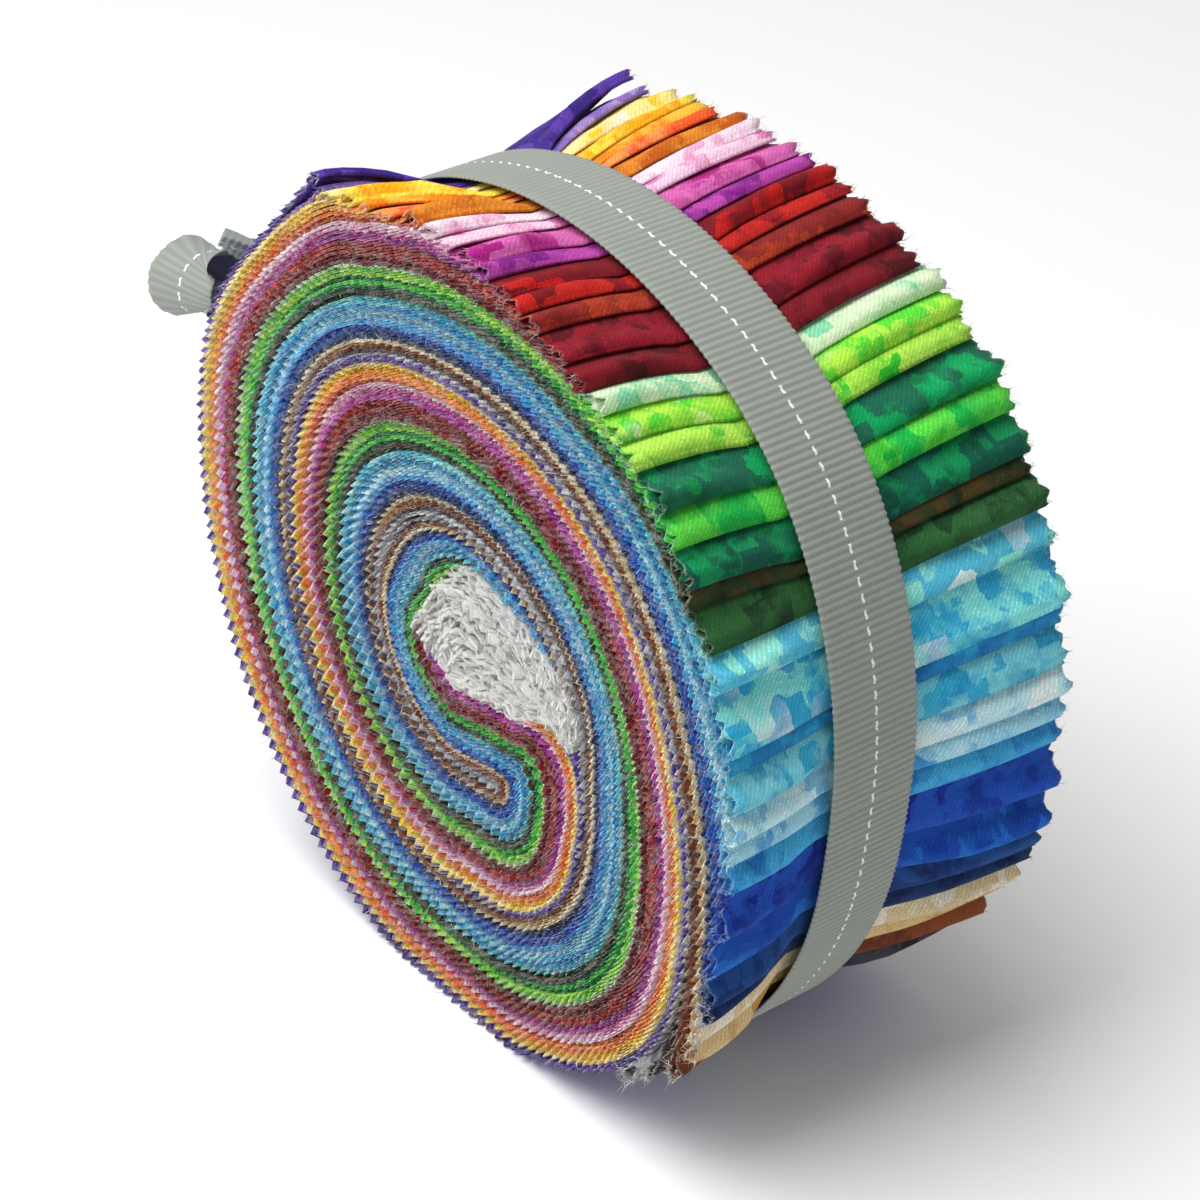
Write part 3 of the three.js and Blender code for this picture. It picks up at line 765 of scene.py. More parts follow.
        mesh = bpy.data.meshes.new(name)
        mesh.from_pydata(vertices.tolist(), [], [[int(v) for v in p] for p in polygons])
        along = np.where(c["side"] < 0, -c["d"], c["d"])
        along = np.repeat(along[:, None], ROW_COUNT, axis=1)[used]
        edge = np.minimum(self.y + self.width / 2, self.width / 2 - self.y)
        edge = np.where(np.isin(np.arange(ROW_COUNT), [0, last])[None, :], 0.0, edge)[used]
        white = np.repeat(self.white[:, None], ROW_COUNT, axis=1)[used]
        add_numbers(mesh, "edge", np.tile(edge, 2))
        add_numbers(mesh, "selvage", np.tile(white, 2))
        shift = MAP_SHIFT["along"] * self.index
        across = np.tile(y, 2) + shift * MAP_SHIFT["across"]
        add_cloth_map(mesh, np.tile(along, 2) + shift, across)
        smooth = np.ones(len(mesh.polygons), bool)
        smooth[walls_from:] = False
        mesh.polygons.foreach_set("use_smooth", smooth)
        return mesh


def add_numbers(mesh, name, values):
    attribute = mesh.attributes.new(name, "FLOAT", "POINT")
    attribute.data.foreach_set("value", np.asarray(values, np.float32))


def add_cloth_map(mesh, along, across):
    """A flat map of the cloth, one unit to ten millimetres."""
    layer = mesh.uv_layers.new(name="cloth")
    corner = np.empty(len(mesh.loops), np.int32)
    mesh.loops.foreach_get("vertex_index", corner)
    flat = np.stack([np.asarray(along)[corner], np.asarray(across)[corner]], axis=1) / 10
    layer.data.foreach_set("uv", flat.astype(np.float32).ravel())


def show(mesh, name, material, replaced=()):
    """An object for a mesh, riding on the part's one body."""
    piece = bpy.data.objects.new(name, mesh)
    bpy.context.scene.collection.objects.link(piece)
    mesh.materials.append(material)
    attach(piece, "root")
    if replaced:
        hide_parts(*replaced)
    return piece


def new_group(name, inputs, outputs):
    """The wiring of a node group with named sockets, what comes into it and what it puts out."""
    group = bpy.data.node_groups.new(name, "ShaderNodeTree")
    kinds = {"colour": "NodeSocketColor", "value": "NodeSocketFloat", "vector": "NodeSocketVector"}
    for socket, kind in inputs:
        group.interface.new_socket(name=socket, in_out="INPUT", socket_type=kinds[kind])
    for socket, kind in outputs:
        group.interface.new_socket(name=socket, in_out="OUTPUT", socket_type=kinds[kind])
    start = group.nodes.new("NodeGroupInput").outputs
    return Wiring(group), start, group.nodes.new("NodeGroupOutput").inputs


class Wiring:
    """Short ways to add and join nodes in one tree."""

    def __init__(self, tree):
        self.tree = tree

    def node(self, kind, **settings):
        made = self.tree.nodes.new(kind)
        for key, value in settings.items():
            setattr(made, key, value)
        return made

    def join(self, source, target):
        self.tree.links.new(source, target)

    def feed(self, socket, value):
        if isinstance(value, bpy.types.NodeSocket):
            self.join(value, socket)
        else:
            socket.default_value = value

    def math(self, operation, *values, clamp=False):
        made = self.node("ShaderNodeMath", operation=operation, use_clamp=clamp)
        for socket, value in zip(made.inputs, values):
            self.feed(socket, value)
        return made.outputs[0]

    def times(self, first, second):
        return self.math("MULTIPLY", first, second)

    def plus(self, first, second):
        return self.math("ADD", first, second)

    def ramp(self, value, low, high, start=0.0, end=1.0):
        made = self.node("ShaderNodeMapRange", interpolation_type="SMOOTHSTEP")
        for socket, given in zip(made.inputs, (value, low, high, start, end)):
            self.feed(socket, given)
        return made.outputs[0]

    def blend(self, factor, first, second, blend_type="MIX"):
        made = self.node("ShaderNodeMix", data_type="RGBA", blend_type=blend_type)
        self.feed(made.inputs["Factor"], factor)
        self.feed(made.inputs["A"], first)
        self.feed(made.inputs["B"], second)
        return made.outputs["Result"]

    def noise(self, vector, scale, detail=2.0, roughness=0.5, distortion=0.0):
        made = self.node("ShaderNodeTexNoise")
        self.feed(made.inputs["Vector"], vector)
        made.inputs["Scale"].default_value = scale
        made.inputs["Detail"].default_value = detail
        made.inputs["Roughness"].default_value = roughness
        made.inputs["Distortion"].default_value = distortion
        return made.outputs["Fac"]

    def cells(self, vector, scale, metric="CHEBYCHEV", randomness=1.0):
        made = self.node("ShaderNodeTexVoronoi", distance=metric)
        self.feed(made.inputs["Vector"], vector)
        made.inputs["Scale"].default_value = scale
        made.inputs["Randomness"].default_value = randomness
        return made.outputs["Color"]

    def group(self, group, **values):
        made = self.node("ShaderNodeGroup", node_tree=group)
        for name, value in values.items():
            self.feed(made.inputs[name], value)
        return made.outputs

    def grey(self, value):
        made = self.node("ShaderNodeCombineColor")
        for socket in made.inputs[:3]:
            self.join(value, socket)
        return made.outputs[0]

    def axes(self, vector):
        made = self.node("ShaderNodeSeparateXYZ")
        self.join(vector, made.inputs[0])
        return made.outputs

    def bump(self, height, strength, distance):
        made = self.node("ShaderNodeBump")
        made.inputs["Strength"].default_value = strength
        made.inputs["Distance"].default_value = distance
        self.join(height, made.inputs["Height"])
        return made.outputs["Normal"]


def new_material(name, **values):
    """A material's wiring and its shader, with plain values on the shader's own sockets."""
    material = bpy.data.materials.new(name)
    material.use_nodes = True
    shader = material.node_tree.nodes["Principled BSDF"]
    for socket, value in values.items():
        shader.inputs[socket.replace("_", " ")].default_value = value
    return material, Wiring(material.node_tree), shader


# Tones that the prints, the cut edges, the threads and the ribbon's dashes take on besides their
# own colour
PALE_PATCH = (0.95, 0.93, 0.9, 1.0)
RAW_FIBRE = (0.78, 0.76, 0.73, 1.0)
EDGE_SHADOW = (0.3, 0.3, 0.32, 1.0)
LINT_DARK = (0.36, 0.37, 0.38, 1.0)
LINT_LIGHT = (0.69, 0.69, 0.66, 1.0)
PALE_THREAD = (0.74, 0.74, 0.72, 1.0)
THREAD_FLECK = (0.9, 0.9, 0.88, 1.0)
DASH_WHITE = (0.86, 0.87, 0.85, 1.0)

# The cloth's threads and the ribbon's yarns and dashes, on the flat map's ten millimetres
COTTON_THREADS = 23.0
RIBBON_YARNS = 150.0
DASH_SPACING = 0.25


def weave_group():
    """Plain weave: threads over and under, from the cloth's flat map, with painted shade between the
    threads.
    """
    w, start, end = new_group(
        "Plain weave",
        [("Map", "vector"), ("Threads", "value")],
        [("Height", "value"), ("Shade", "value")],
    )
    wobble = w.times(w.noise(start["Map"], 9.0), 0.5)
    yarns = []
    for axis in w.axes(start["Map"])[:2]:
        turns = w.times(w.plus(axis, wobble), start["Threads"])
        yarns.append(w.math("SINE", w.times(turns, math.pi)))
    crossing = w.times(*yarns)
    over = w.math("ABSOLUTE", crossing)
    slub = w.noise(start["Map"], 30.0, 3.0, 0.6)
    height = w.plus(w.times(over, 0.7), w.times(slub, 0.5))
    # Painted shade and light of the weave: darker in the gaps between threads and lighter where a
    # thread lies over.
    shade = w.plus(w.times(crossing, 0.2), w.times(over, 0.42))
    w.join(height, end["Height"])
    w.join(w.plus(shade, 0.78), end["Shade"])
    return w.tree


def print_group():
    """A generic tone-on-tone print: soft washes broken up by small blocks."""
    w, start, end = new_group(
        "Mottled print",
        [("Map", "vector"), ("Ground", "colour"), ("Mottle", "colour"), ("Light", "value")],
        [("Colour", "colour")],
    )
    source = start["Map"]
    blocks = w.node("ShaderNodeSeparateColor")
    w.join(w.cells(source, 2.1, randomness=0.85), blocks.inputs[0])
    small = w.node("ShaderNodeSeparateColor")
    w.join(w.cells(source, 5.2, randomness=0.9), small.inputs[0])
    wash = w.noise(source, 1.1, 3.0, 0.55, 0.6)
    mixed = w.plus(w.times(blocks.outputs[0], 0.45), w.times(wash, 0.8))
    mixed = w.plus(mixed, w.times(small.outputs[1], 0.2))
    mask = w.ramp(mixed, 0.52, 0.8)
    colour = w.blend(mask, start["Ground"], start["Mottle"])
    dark = w.ramp(w.noise(source, 1.9, 4.0, 0.6), 0.5, 0.66, 0.0, 0.45)
    colour = w.blend(dark, colour, w.blend(1.0, colour, start["Ground"], "MULTIPLY"))
    pale = w.ramp(w.plus(blocks.outputs[2], w.times(wash, 0.5)), 1.06, 1.3)
    pale = w.times(pale, start["Light"])
    colour = w.blend(pale, colour, PALE_PATCH)
    w.join(colour, end["Colour"])
    return w.tree


def fray_group():
    """Raw cut edge: the print breaks up into pale fibres close to the edge."""
    w, start, end = new_group(
        "Frayed edge",
        [("Colour", "colour"), ("Edge", "value"), ("Selvage", "value"), ("Amount", "value")],
        [("Colour", "colour"), ("Height", "value")],
    )
    place = w.node("ShaderNodeTexCoord").outputs["Object"]
    fibres = w.noise(place, 2600.0, 3.0, 0.7)
    patches = w.noise(place, 420.0, 2.0, 0.6)
    wear = w.ramp(start["Edge"], 0.6, 0.0)
    speckle = w.plus(w.times(fibres, 0.6), w.times(patches, 0.5))
    speckle = w.ramp(speckle, 0.42, 0.72)
    amount = w.times(w.times(wear, speckle), start["Amount"])
    colour = w.blend(amount, start["Colour"], RAW_FIBRE)
    shadow = w.ramp(w.noise(place, 1500.0, 2.0, 0.5), 0.56, 0.36, 0.0, 0.5)
    dark = w.blend(1.0, colour, EDGE_SHADOW, "MULTIPLY")
    colour = w.blend(w.times(shadow, wear), colour, dark)
    lint = w.ramp(w.noise(place, 500.0, 3.0, 0.6), 0.34, 0.46, 0.0, 1.0)
    white = w.blend(lint, LINT_DARK, LINT_LIGHT)
    colour = w.blend(start["Selvage"], colour, white)
    w.join(colour, end["Colour"])
    w.join(w.times(fibres, wear), end["Height"])
    return w.tree


def cotton_material(row, groups):
    """Printed quilting cotton with a raw, frayed cut edge."""
    ground = linear(row["ground"])
    mottle = linear(row["mottle"])
    light = 0.65 if row["name"] in PALE_PRINTS else 0.0
    name = f"Cotton {row['name']}"
    material, w, shader = new_material(
        name, Roughness=0.9, Specular_IOR_Level=0.12, Sheen_Weight=0.04, Sheen_Roughness=0.5
    )
    flat = w.node("ShaderNodeUVMap", uv_map="cloth").outputs["UV"]
    edge = w.node("ShaderNodeAttribute", attribute_name="edge").outputs["Fac"]
    selvage = w.node("ShaderNodeAttribute", attribute_name="selvage").outputs["Fac"]
    printed = w.group(groups["print"], Map=flat, Ground=ground, Mottle=mottle, Light=light)
    weave = w.group(groups["weave"], Map=flat, Threads=COTTON_THREADS)
    shaded = w.blend(1.0, printed["Colour"], w.grey(weave["Shade"]), "MULTIPLY")
    frayed = w.group(groups["fray"], Colour=shaded, Edge=edge, Selvage=selvage, Amount=0.36)
    w.join(frayed["Colour"], shader.inputs["Base Color"])
    height = w.plus(weave["Height"], w.times(frayed["Height"], 1.5))
    w.join(w.bump(height, 0.8, 0.12 * MM), shader.inputs["Normal"])
    return material


SHARED = {}


def shared():
    """What several operators use: the winding and the shader groups."""
    if not SHARED:
        SHARED["winding"] = Winding()
        SHARED["groups"] = {"weave": weave_group(), "print": print_group(), "fray": fray_group()}
    return SHARED


class FABRICROLL_OT_wind_strips(bpy.types.Operator):
    """Wind forty folded strips into the roll"""

    bl_idname = "fabricroll.wind_strips"
    bl_label = "Wind Strips"

    def execute(self, context):
        settings = context.scene.fabric_roll
        winding = shared()["winding"]
        groups = shared()["groups"]
        fringe = {"near": [], "far": []}
        for index, row in reversed(list(enumerate(STRIPS))):
            strip = Strip(winding, index, settings)
            name = f"strip_{index + 1:02d}_{row['name']}"
            material = cotton_material(row, groups)
            replaced = ["roll"]
            if index == 0:
                replaced += ["loose_end_near", "loose_end_far"]
            piece = show(strip.mesh(name), name, material, replaced)
            for key, row_number in (("near", 0), ("far", ROW_COUNT - 1)):
                fringe[key].append(strip_edge(strip, row_number))
        SHARED["fringe"] = fringe
        if len(fringe["near"]) != len(STRIPS):
            raise RuntimeError("some strips were not wound")
        return {"FINISHED"}


def strip_edge(strip, row):
    """The points of one cut edge, with the colours that its threads take."""
    x = strip.points[:, row, 0] + AXIS_X
    z = strip.points[:, row, 1] + AXIS_HEIGHT
    return {
        "index": strip.index,
        "points": np.stack([x, strip.y[:, row], z], axis=1),
        "white": strip.white,
        "nose": np.exp(-strip.columns["d"] / FOLD_REACH),
    }


# The loose threads: how many are added at a fold end, and how much longer and paler they are there;
# the shares of them that are kept; how they spread and droop, half their width, their points, and
# how far from a fold they still count as being there
USUAL_END = {"copies": 2, "longer": 0.2, "paler": 0.4}
FLUFFY_END = {"copies": 8, "longer": 0.7, "paler": 0.8}
KEPT = {"print": 0.62, "white": 0.12}
THREAD_SPREAD = 0.55
THREAD_DROOP = 0.75
THREAD_HALF_WIDTH = (0.03, 0.05)
THREAD_POINTS = 5
FOLD_REACH = 5


def thread_material():
    """Loose cotton threads, tinted by the strip that they come from."""
    material, w, shader = new_material("Frayed threads", Roughness=0.95, Sheen_Weight=0.3)
    tint = w.node("ShaderNodeAttribute", attribute_name="tint").outputs["Color"]
    place = w.node("ShaderNodeTexCoord").outputs["Object"]
    pale = w.ramp(w.noise(place, 900.0), 0.4, 0.7, 0.0, 0.35)
    w.join(w.blend(pale, tint, THREAD_FLECK), shader.inputs["Base Color"])
    return material


class FABRICROLL_OT_fray_edges(bpy.types.Operator):
    """Fray the cut edges into short loose threads"""

    bl_idname = "fabricroll.fray_edges"
    bl_label = "Fray Edges"

    def execute(self, context):
        settings = context.scene.fabric_roll
        if "fringe" not in SHARED:
            raise RuntimeError("wind the strips first")
        material = thread_material()
        for key, facing in (("near", -1), ("far", 1)):
            rng = np.random.default_rng(SEED + facing)
            length = settings.fringe_length / MM
            made = [threads_on(edge, facing, length, rng) for edge in SHARED["fringe"][key]]
            vertices = np.concatenate([points for points, tint in made])
            tints = np.concatenate([tint for points, tint in made])
            first = np.arange(len(vertices))[:, None] * THREAD_POINTS
            quads = (first + np.array([0, 1, 3, 2])).tolist()
            tips = (first + np.array([2, 3, 4])).tolist()
            mesh = bpy.data.meshes.new(f"frayed_threads_{key}")
            mesh.from_pydata((vertices.reshape(-1, 3) * MM).tolist(), [], quads + tips)
            attribute = mesh.attributes.new("tint", "FLOAT_COLOR", "POINT")
            colours = np.repeat(tints, THREAD_POINTS, axis=0).astype(np.float32)
            attribute.data.foreach_set("color", colours.ravel())
            show(mesh, f"frayed_threads_{key}", material)
        return {"FINISHED"}


def threads_on(edge, facing, length, rng):
    """Short bent threads that stand out of one cut edge: five points each."""
    index = edge["index"]
    end = FLUFFY_END if facing < 0 and index > FLUFFY_FROM else USUAL_END
    copies = 1 + np.round(end["copies"] * edge["nose"]).astype(int)
    points = np.repeat(edge["points"], copies, axis=0)
    white = np.repeat(edge["white"], copies)
    nose = np.repeat(edge["nose"], copies)
    chosen = rng.random(len(points)) < np.where(white > 0.3, KEPT["white"], KEPT["print"])
    white = white[chosen][:, None]
    nose = nose[chosen][:, None]
    count = int(chosen.sum())
    roots = points[chosen] + nose * rng.normal(0, 0.12, (count, 3))
    reach = length * rng.lognormal(0, 0.28, count)[:, None]
    reach *= 1 - 0.4 * white + end["longer"] * nose
    direction = rng.normal(0, THREAD_SPREAD, (count, 3))
    direction[:, 1] = facing * rng.uniform(0.4, 1.0, count)
    direction /= np.linalg.norm(direction, axis=1, keepdims=True)
    droop = rng.normal(0, THREAD_DROOP, (count, 3))
    side = np.cross(direction, rng.normal(0, 1, (count, 3)))
    side /= np.linalg.norm(side, axis=1, keepdims=True)
    side *= rng.uniform(*THREAD_HALF_WIDTH, count)[:, None]
    middle = roots + direction * reach * 0.5
    tip = middle + (direction + droop) * reach * 0.5
    made = np.stack([roots - side, roots + side, middle - side, middle + side, tip], axis=1)
    made[..., 2] = np.maximum(made[..., 2], 0.1)
    beside = np.clip(index + rng.integers(-1, 2, count), 0, len(STRIPS) - 1)
    ground = np.array([linear(strip["ground"]) for strip in STRIPS])[beside]
    mottle = np.array([linear(strip["mottle"]) for strip in STRIPS])[beside]
    pale = np.array(PALE_THREAD)
    choice = rng.random((count, 1))
    tint = ground + (mottle - ground) * rng.random((count, 1))
    loose = 0.3 * choice**2 + end["paler"] * nose * choice
    return made, tint + (pale - tint) * np.clip(loose + white, 0, 1)


def spline(rows, steps):
    """Points of a smooth line through table rows, with the other columns read beside it."""
    knots = np.array([[row["x"], row["y"], row["z"] + AXIS_HEIGHT] for row in rows])
    gaps = np.linalg.norm(np.diff(knots, axis=0), axis=1) ** 0.5
    at = np.concatenate([[0], np.cumsum(gaps)])
    fine = np.linspace(0, at[-1], 400)
    line = np.stack([through(at, knots[:, i], fine) for i in range(3)], axis=1)
    arc = distances_along(line)
    even = np.interp(np.linspace(0, arc[-1], steps), arc, fine)
    line = np.stack([through(at, knots[:, i], even) for i in range(3)], axis=1)
    slope = np.interp(even, at, column(rows, "slope"))
    share = np.interp(even, at, column(rows, "share"))
    return line, slope, share


def grosgrain_group():
    """Ribbed ribbon: yarn across the ribs, painted light and shade on the ribs and yarns, soft wear,
    and a pale dashed line down the middle.
    """
    w, start, end = new_group(
        "Grosgrain",
        [("Map", "vector"), ("Yarn", "colour"), ("Rib", "value")],
        [("Colour", "colour"), ("Height", "value")],
    )
    along, across = w.axes(start["Map"])[:2]
    turns = w.math("DIVIDE", 2 * math.pi, start["Rib"])
    ribs = w.math("SINE", w.times(along, turns))
    yarn = w.math("SINE", w.times(across, RIBBON_YARNS))
    fibres = w.noise(start["Map"], 60.0, 3.0, 0.65)
    wear = w.noise(start["Map"], 2.0, 3.0, 0.6)
    # Painted light and shade: the tone is lighter on the ribs' crests and the yarns' crowns and
    # darker between them, in step with the mesh's ribs and the yarns' bump.
    tone = w.plus(w.times(ribs, 0.10), w.times(yarn, 0.05))
    tone = w.plus(tone, w.times(w.math("SUBTRACT", fibres, 0.5), 0.35))
    tone = w.plus(tone, w.times(w.math("SUBTRACT", wear, 0.5), 0.12))
    grey = w.grey(w.plus(tone, 0.98))
    colour = w.blend(1.0, start["Yarn"], grey, "MULTIPLY")
    beat = w.ramp(w.math("FRACT", w.math("DIVIDE", along, DASH_SPACING)), 0.58, 0.54)
    dash = w.times(beat, w.ramp(w.math("ABSOLUTE", across), 0.026, 0.018))
    thin = w.ramp(fibres, 0.32, 0.5, 0.55, 1.0)
    colour = w.blend(w.times(dash, thin), colour, DASH_WHITE)
    w.join(colour, end["Colour"])
    height = w.plus(w.times(yarn, 0.5), w.times(fibres, 0.8))
    w.join(height, end["Height"])
    return w.tree


def ribbon_material(settings):
    """Grey grosgrain ribbon."""
    material, w, shader = new_material(
        "Grosgrain ribbon", Roughness=0.62, Specular_IOR_Level=0.35, Sheen_Weight=0.2
    )
    flat = w.node("ShaderNodeUVMap", uv_map="cloth").outputs["UV"]
    yarn = list(settings.ribbon_colour)
    woven = w.group(grosgrain_group(), Map=flat, Yarn=yarn, Rib=settings.rib_pitch / MM / 10)
    w.join(woven["Colour"], shader.inputs["Base Color"])
    w.join(w.bump(woven["Height"], 0.4, 0.08 * MM), shader.inputs["Normal"])
    return material


# The ribbon's cross section: its face and back from its middle, its ribs, picots, hems and pleats,
# and the places across it that have points
RIBBON_FACE = 0.16
RIBBON_BACK = -0.2
RIB_HEIGHT = 0.24
PICOT = 0.012
HEM_THINNER = 0.45
HEM_FROM = 0.97
RIB_ROUNDING = 0.8
PLEAT_DEPTH = 3.2
PLEAT_TURNS = 2.2
RIBBON_ACROSS = np.array([-1.0, -0.94, -0.8, -0.5, -0.2, 0.0, 0.2, 0.5, 0.8, 0.94, 1.0])


def pleats(share):
    """Heights of the ribbon's pleats, where it is gathered to a share of its width."""
    depth = PLEAT_DEPTH * (1 - share)
    return depth[:, None] * np.cos(PLEAT_TURNS * math.pi * RIBBON_ACROSS)[None, :] / 2


def ribbon_mesh(name, line, wide, out, half_widths, settings, closed=False, gather=None):
    """A ribbed length of ribbon along a line, with its picot edges."""
    arc = distances_along(line)
    crest = 0.5 + 0.5 * np.sin(arc / (settings.rib_pitch / MM) * 2 * math.pi)
    rib = RIB_HEIGHT * crest**RIB_ROUNDING
    count = len(line)
    across = len(RIBBON_ACROSS)
    width = half_widths * (1 + PICOT * (2 * crest - 1))
    lean = RIBBON_ACROSS[None, :, None] * wide[:, None, :] * width[:, None, None]
    middle = line[:, None, :] + lean
    hem = 1 - HEM_THINNER * (np.abs(RIBBON_ACROSS) > HEM_FROM)
    pleat = 0.0 if gather is None else pleats(gather)
    face = (RIBBON_FACE + rib[:, None]) * hem[None, :] + pleat
    base = RIBBON_BACK * hem[None, :] + pleat
    sides = [middle + height[..., None] * out[:, None, :] for height in (face, base)]
    vertices = np.concatenate([side.reshape(-1, 3) for side in sides]) * MM
    back = count * across
    runs = count if closed else count - 1
    polygons = []
    for i in range(runs):
        a = i * across
        b = ((i + 1) % count) * across
        for j in range(across - 1):
            polygons.append([a + j, a + j + 1, b + j + 1, b + j])
            polygons.append([back + b + j, back + b + j + 1, back + a + j + 1, back + a + j])
        polygons.append([a, b, back + b, back + a])
        c = a + across - 1
        d = b + across - 1
        polygons.append([d, c, back + c, back + d])
    if not closed:
        for a, turn in ((0, -1), ((count - 1) * across, 1)):
            ring = [a + j for j in range(across)] + [back + a + j for j in reversed(range(across))]
            polygons.append(ring[::turn])
    mesh = bpy.data.meshes.new(name)
    mesh.from_pydata(vertices.tolist(), [], polygons)
    mesh.validate()
    along = np.tile(np.repeat(arc, across), 2)
    side = np.tile(np.tile(RIBBON_ACROSS * settings.ribbon_width / MM / 2, count), 2)
    add_cloth_map(mesh, along, side)
    mesh.polygons.foreach_set("use_smooth", np.ones(len(mesh.polygons), bool))
    return mesh, float(arc[-1])


class FABRICROLL_OT_tie_ribbon(bpy.types.Operator):
    """Tie the ribbon round the waist of the roll"""

    bl_idname = "fabricroll.tie_ribbon"
    bl_label = "Tie Ribbon"

    def execute(self, context):
        settings = context.scene.fabric_roll
        SHARED["ribbon"] = ribbon_material(settings)
        ribs = round(2 * math.pi * BAND_RADIUS / (settings.rib_pitch / MM))
        count = ribs * 4
        angle = np.arange(count) * 360 / count
        radius = rim_radius(angle, "waist") + BAND_GAP + BAND_MIDDLE
        flat = polar(angle, radius)
        line = np.stack([flat[:, 0] + AXIS_X, ribbon_middle(angle), flat[:, 1] + AXIS_HEIGHT], axis=1)
        line[:, 2] = np.maximum(line[:, 2], BAND_LOWEST)
        a = np.radians(angle)
        out = np.stack([np.cos(a), np.zeros(count), np.sin(a)], axis=1)
        wide = np.tile(np.array([0.0, 1.0, 0.0]), (count, 1))
        half = np.full(count, settings.ribbon_width / MM / 2)
        mesh, length = ribbon_mesh("ribbon_round_waist", line, wide, out, half, settings, closed=True)
        piece = show(mesh, "ribbon_round_waist", SHARED["ribbon"], ["ribbon_band"])
        return {"FINISHED"}


def ribbon_length(name, rows, node, settings, steps, turn):
    """A free length of ribbon: a loop or a tail of the bow."""
    line, slope, share = spline(rows, steps)
    line = line + np.array([AXIS_X, 0, 0])
    tangent = np.gradient(line, axis=0)
    tangent /= np.linalg.norm(tangent, axis=1, keepdims=True)
    tilt = np.radians(slope)
    wide = np.stack([np.cos(tilt), np.full(steps, turn), np.sin(tilt)], axis=1)
    wide -= (wide * tangent).sum(axis=1, keepdims=True) * tangent
    wide /= np.linalg.norm(wide, axis=1, keepdims=True)
    out = np.cross(wide, tangent)
    half = share * settings.ribbon_width / MM / 2
    middle = line.mean(axis=0)
    if ((line - middle) * out).sum() < 0:
        out = -out
        wide = -wide
    mesh, length = ribbon_mesh(name, line, wide, out, half, settings, gather=share)
    piece = show(mesh, name, SHARED["ribbon"], [node])


def squared_off(value):
    """A sine or cosine whose curve is a little squarer than a circle's."""
    return math.copysign(abs(value) ** 0.8, value)


class FABRICROLL_OT_tie_bow(bpy.types.Operator):
    """Tie the bow: its knot, two loops and two tails"""

    bl_idname = "fabricroll.tie_bow"
    bl_label = "Tie Bow"

    def execute(self, context):
        settings = context.scene.fabric_roll
        if "ribbon" not in SHARED:
            raise RuntimeError("tie the ribbon first")
        for name, rows, node, steps, turn in (
            ("loop_of_bow_near", NEAR_LOOP, "bow_loop_near", 170, 0.2),
            ("loop_of_bow_far", FAR_LOOP, "bow_loop_far", 170, 0.0),
            ("tail_of_bow_near", NEAR_TAIL, "bow_tail_near", 80, 0.0),
            ("tail_of_bow_far", FAR_TAIL, "bow_tail_far", 100, 0.0),
        ):
            ribbon_length(name, rows, node, settings, steps, turn)
        self.knot()
        return {"FINISHED"}

    def knot(self):
        """The ribbon's turn round the bow's middle, pleated as it is pulled tight."""
        rings = KNOT_MESH["rings"]
        around = KNOT_MESH["around"]
        seat = float(rim_radius(KNOT["angle"], "waist")) + BAND_GAP + 1.0 + BAND_GAP
        middle = float(ribbon_middle(KNOT["angle"]))
        a = math.radians(KNOT["angle"])
        out = np.array([math.cos(a), 0.0, math.sin(a)])
        up = np.array([-math.sin(a), 0.0, math.cos(a)])
        centre = np.array([AXIS_X, middle, AXIS_HEIGHT]) + out * (seat + KNOT["out"] - 0.2)
        vertices = []
        along = []
        across = []
        for i in range(rings):
            s = 2 * i / (rings - 1) - 1
            rounded = (1 - abs(s) ** KNOT_ENDS["bend"]) ** KNOT_ENDS["round"]
            swell = max(rounded, KNOT_ENDS["least"])
            crease = KNOT_CREASE * math.cos(3.5 * math.pi * s)
            for j in range(around):
                t = 2 * math.pi * j / around
                rib = KNOT_RIB["height"] * math.sin(t * KNOT_RIB["count"])
                high = (KNOT["high"] * 0.86 + crease + rib) * swell
                long = (KNOT["along"] * 0.46 + crease + rib) * swell
                p = centre + out * high * squared_off(math.cos(t))
                p = p + up * long * squared_off(math.sin(t))
                p[1] += s * KNOT["across"] * 0.48
                vertices.append(p * MM)
                along.append(j / around * KNOT_MESH["map"])
                across.append(2.0 + s * 5)
        polygons = []
        for i in range(rings - 1):
            for j in range(around):
                a = i * around + j
                b = i * around + (j + 1) % around
                polygons.append([a, a + around, b + around, b])
        polygons.append(list(range(around)))
        polygons.append(list(reversed(range((rings - 1) * around, rings * around))))
        mesh = bpy.data.meshes.new("knot_of_bow")
        mesh.from_pydata([list(v) for v in vertices], [], polygons)
        mesh.validate()
        add_cloth_map(mesh, along, across)
        mesh.polygons.foreach_set("use_smooth", np.ones(len(mesh.polygons), bool))
        show(mesh, "knot_of_bow", SHARED["ribbon"], ["ribbon_knot"])


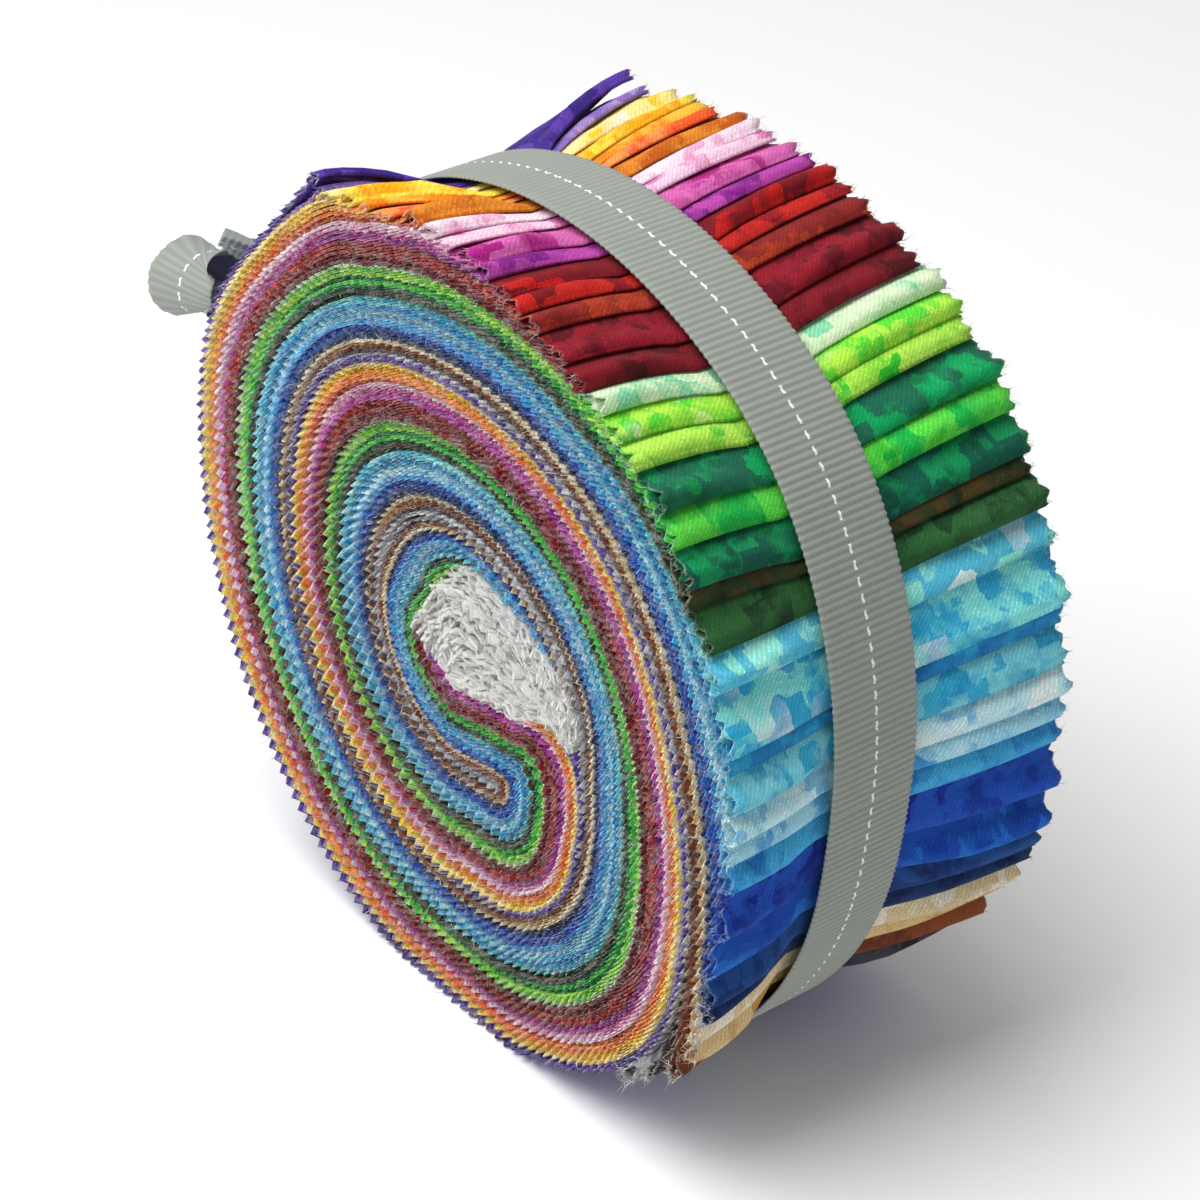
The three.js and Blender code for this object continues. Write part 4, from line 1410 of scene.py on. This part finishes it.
class FABRICROLL_OT_set_stage(bpy.types.Operator):
    """Set up the pale floor, the soft lights and the camera"""

    bl_idname = "fabricroll.set_stage"
    bl_label = "Set Stage"

    def execute(self, context):
        scene = context.scene
        settings = scene.fabric_roll
        self.camera(scene)
        self.floor(scene, settings)
        self.lights(scene)
        scene.view_settings.view_transform = "Standard"
        if scene.camera is None:
            raise RuntimeError("the camera was not made")
        return {"FINISHED"}

    def camera(self, scene):
        a = math.radians(CAMERA["azimuth"])
        e = math.radians(CAMERA["elevation"])
        back = np.array([math.sin(a) * math.cos(e), -math.cos(a) * math.cos(e), math.sin(e)])
        right = np.array([math.cos(a), math.sin(a), 0.0])
        up = np.cross(back, right)
        centre = np.array([AXIS_X, 0.0, AXIS_HEIGHT])
        place = centre + CAMERA["right"] * right + CAMERA["up"] * up + CAMERA["distance"] * back
        data = bpy.data.cameras.new("Camera")
        data.lens = FOCAL_LENGTH
        data.sensor_width = SENSOR_WIDTH
        data.clip_start = NEAREST_SEEN
        camera = bpy.data.objects.new("Camera", data)
        camera.location = place * MM
        camera.rotation_euler = (math.radians(90 - CAMERA["elevation"]), 0, a)
        scene.collection.objects.link(camera)
        scene.camera = camera

    def floor(self, scene, settings):
        mesh = bpy.data.meshes.new("floor")
        signs = ((-1, -1), (1, -1), (1, 1), (-1, 1))
        corners = [(x * FLOOR_HALF, y * FLOOR_HALF, 0) for x, y in signs]
        mesh.from_pydata(corners, [], [(0, 1, 2, 3)])
        floor = bpy.data.objects.new("floor", mesh)
        scene.collection.objects.link(floor)
        material = new_material(
            "Studio floor", Base_Color=settings.floor_colour, Roughness=0.8, Specular_IOR_Level=0.1
        )[0]
        mesh.materials.append(material)

    def lights(self, scene):
        world = bpy.data.worlds.new("Studio")
        world.use_nodes = True
        background = world.node_tree.nodes["Background"]
        background.inputs["Color"].default_value = (1.0, 1.0, 1.0, 1.0)
        background.inputs["Strength"].default_value = WORLD_STRENGTH
        scene.world = world
        centre = np.array([AXIS_X, 0.0, AXIS_HEIGHT]) * MM
        for row in LIGHTS:
            data = bpy.data.lights.new(row["name"], "AREA")
            data.size = row["size"]
            data.energy = row["power"]
            light = bpy.data.objects.new(row["name"], data)
            light.location = row["at"]
            direction = Vector(centre) - Vector(row["at"])
            light.rotation_euler = direction.to_track_quat("-Z", "Y").to_euler()
            scene.collection.objects.link(light)


class FABRICROLL_PT_panel(bpy.types.Panel):
    """Lists the roll's settings and steps"""

    bl_idname = "FABRICROLL_PT_panel"
    bl_label = "Fabric Roll"
    bl_space_type = "VIEW_3D"
    bl_region_type = "UI"
    bl_category = "Fabric Roll"

    def draw(self, context):
        for name in FabricRollSettings.__annotations__:
            self.layout.prop(context.scene.fabric_roll, name)
        for operator in OPERATORS:
            self.layout.operator(operator.bl_idname)


OPERATORS = (
    FABRICROLL_OT_set_stage,
    FABRICROLL_OT_wind_strips,
    FABRICROLL_OT_fray_edges,
    FABRICROLL_OT_tie_ribbon,
    FABRICROLL_OT_tie_bow,
)
CLASSES = (FabricRollSettings, *OPERATORS, FABRICROLL_PT_panel)


def register():
    for item in CLASSES:
        bpy.utils.register_class(item)
    bpy.types.Scene.fabric_roll = bpy.props.PointerProperty(type=FabricRollSettings)


def unregister():
    del bpy.types.Scene.fabric_roll
    for item in reversed(CLASSES):
        bpy.utils.unregister_class(item)


def main():
    register()
    bpy.ops.fabricroll.set_stage()
    bpy.ops.fabricroll.wind_strips()
    bpy.ops.fabricroll.tie_ribbon()
    bpy.ops.fabricroll.fray_edges()
    bpy.ops.fabricroll.tie_bow()


if __name__ == "__main__":
    main()
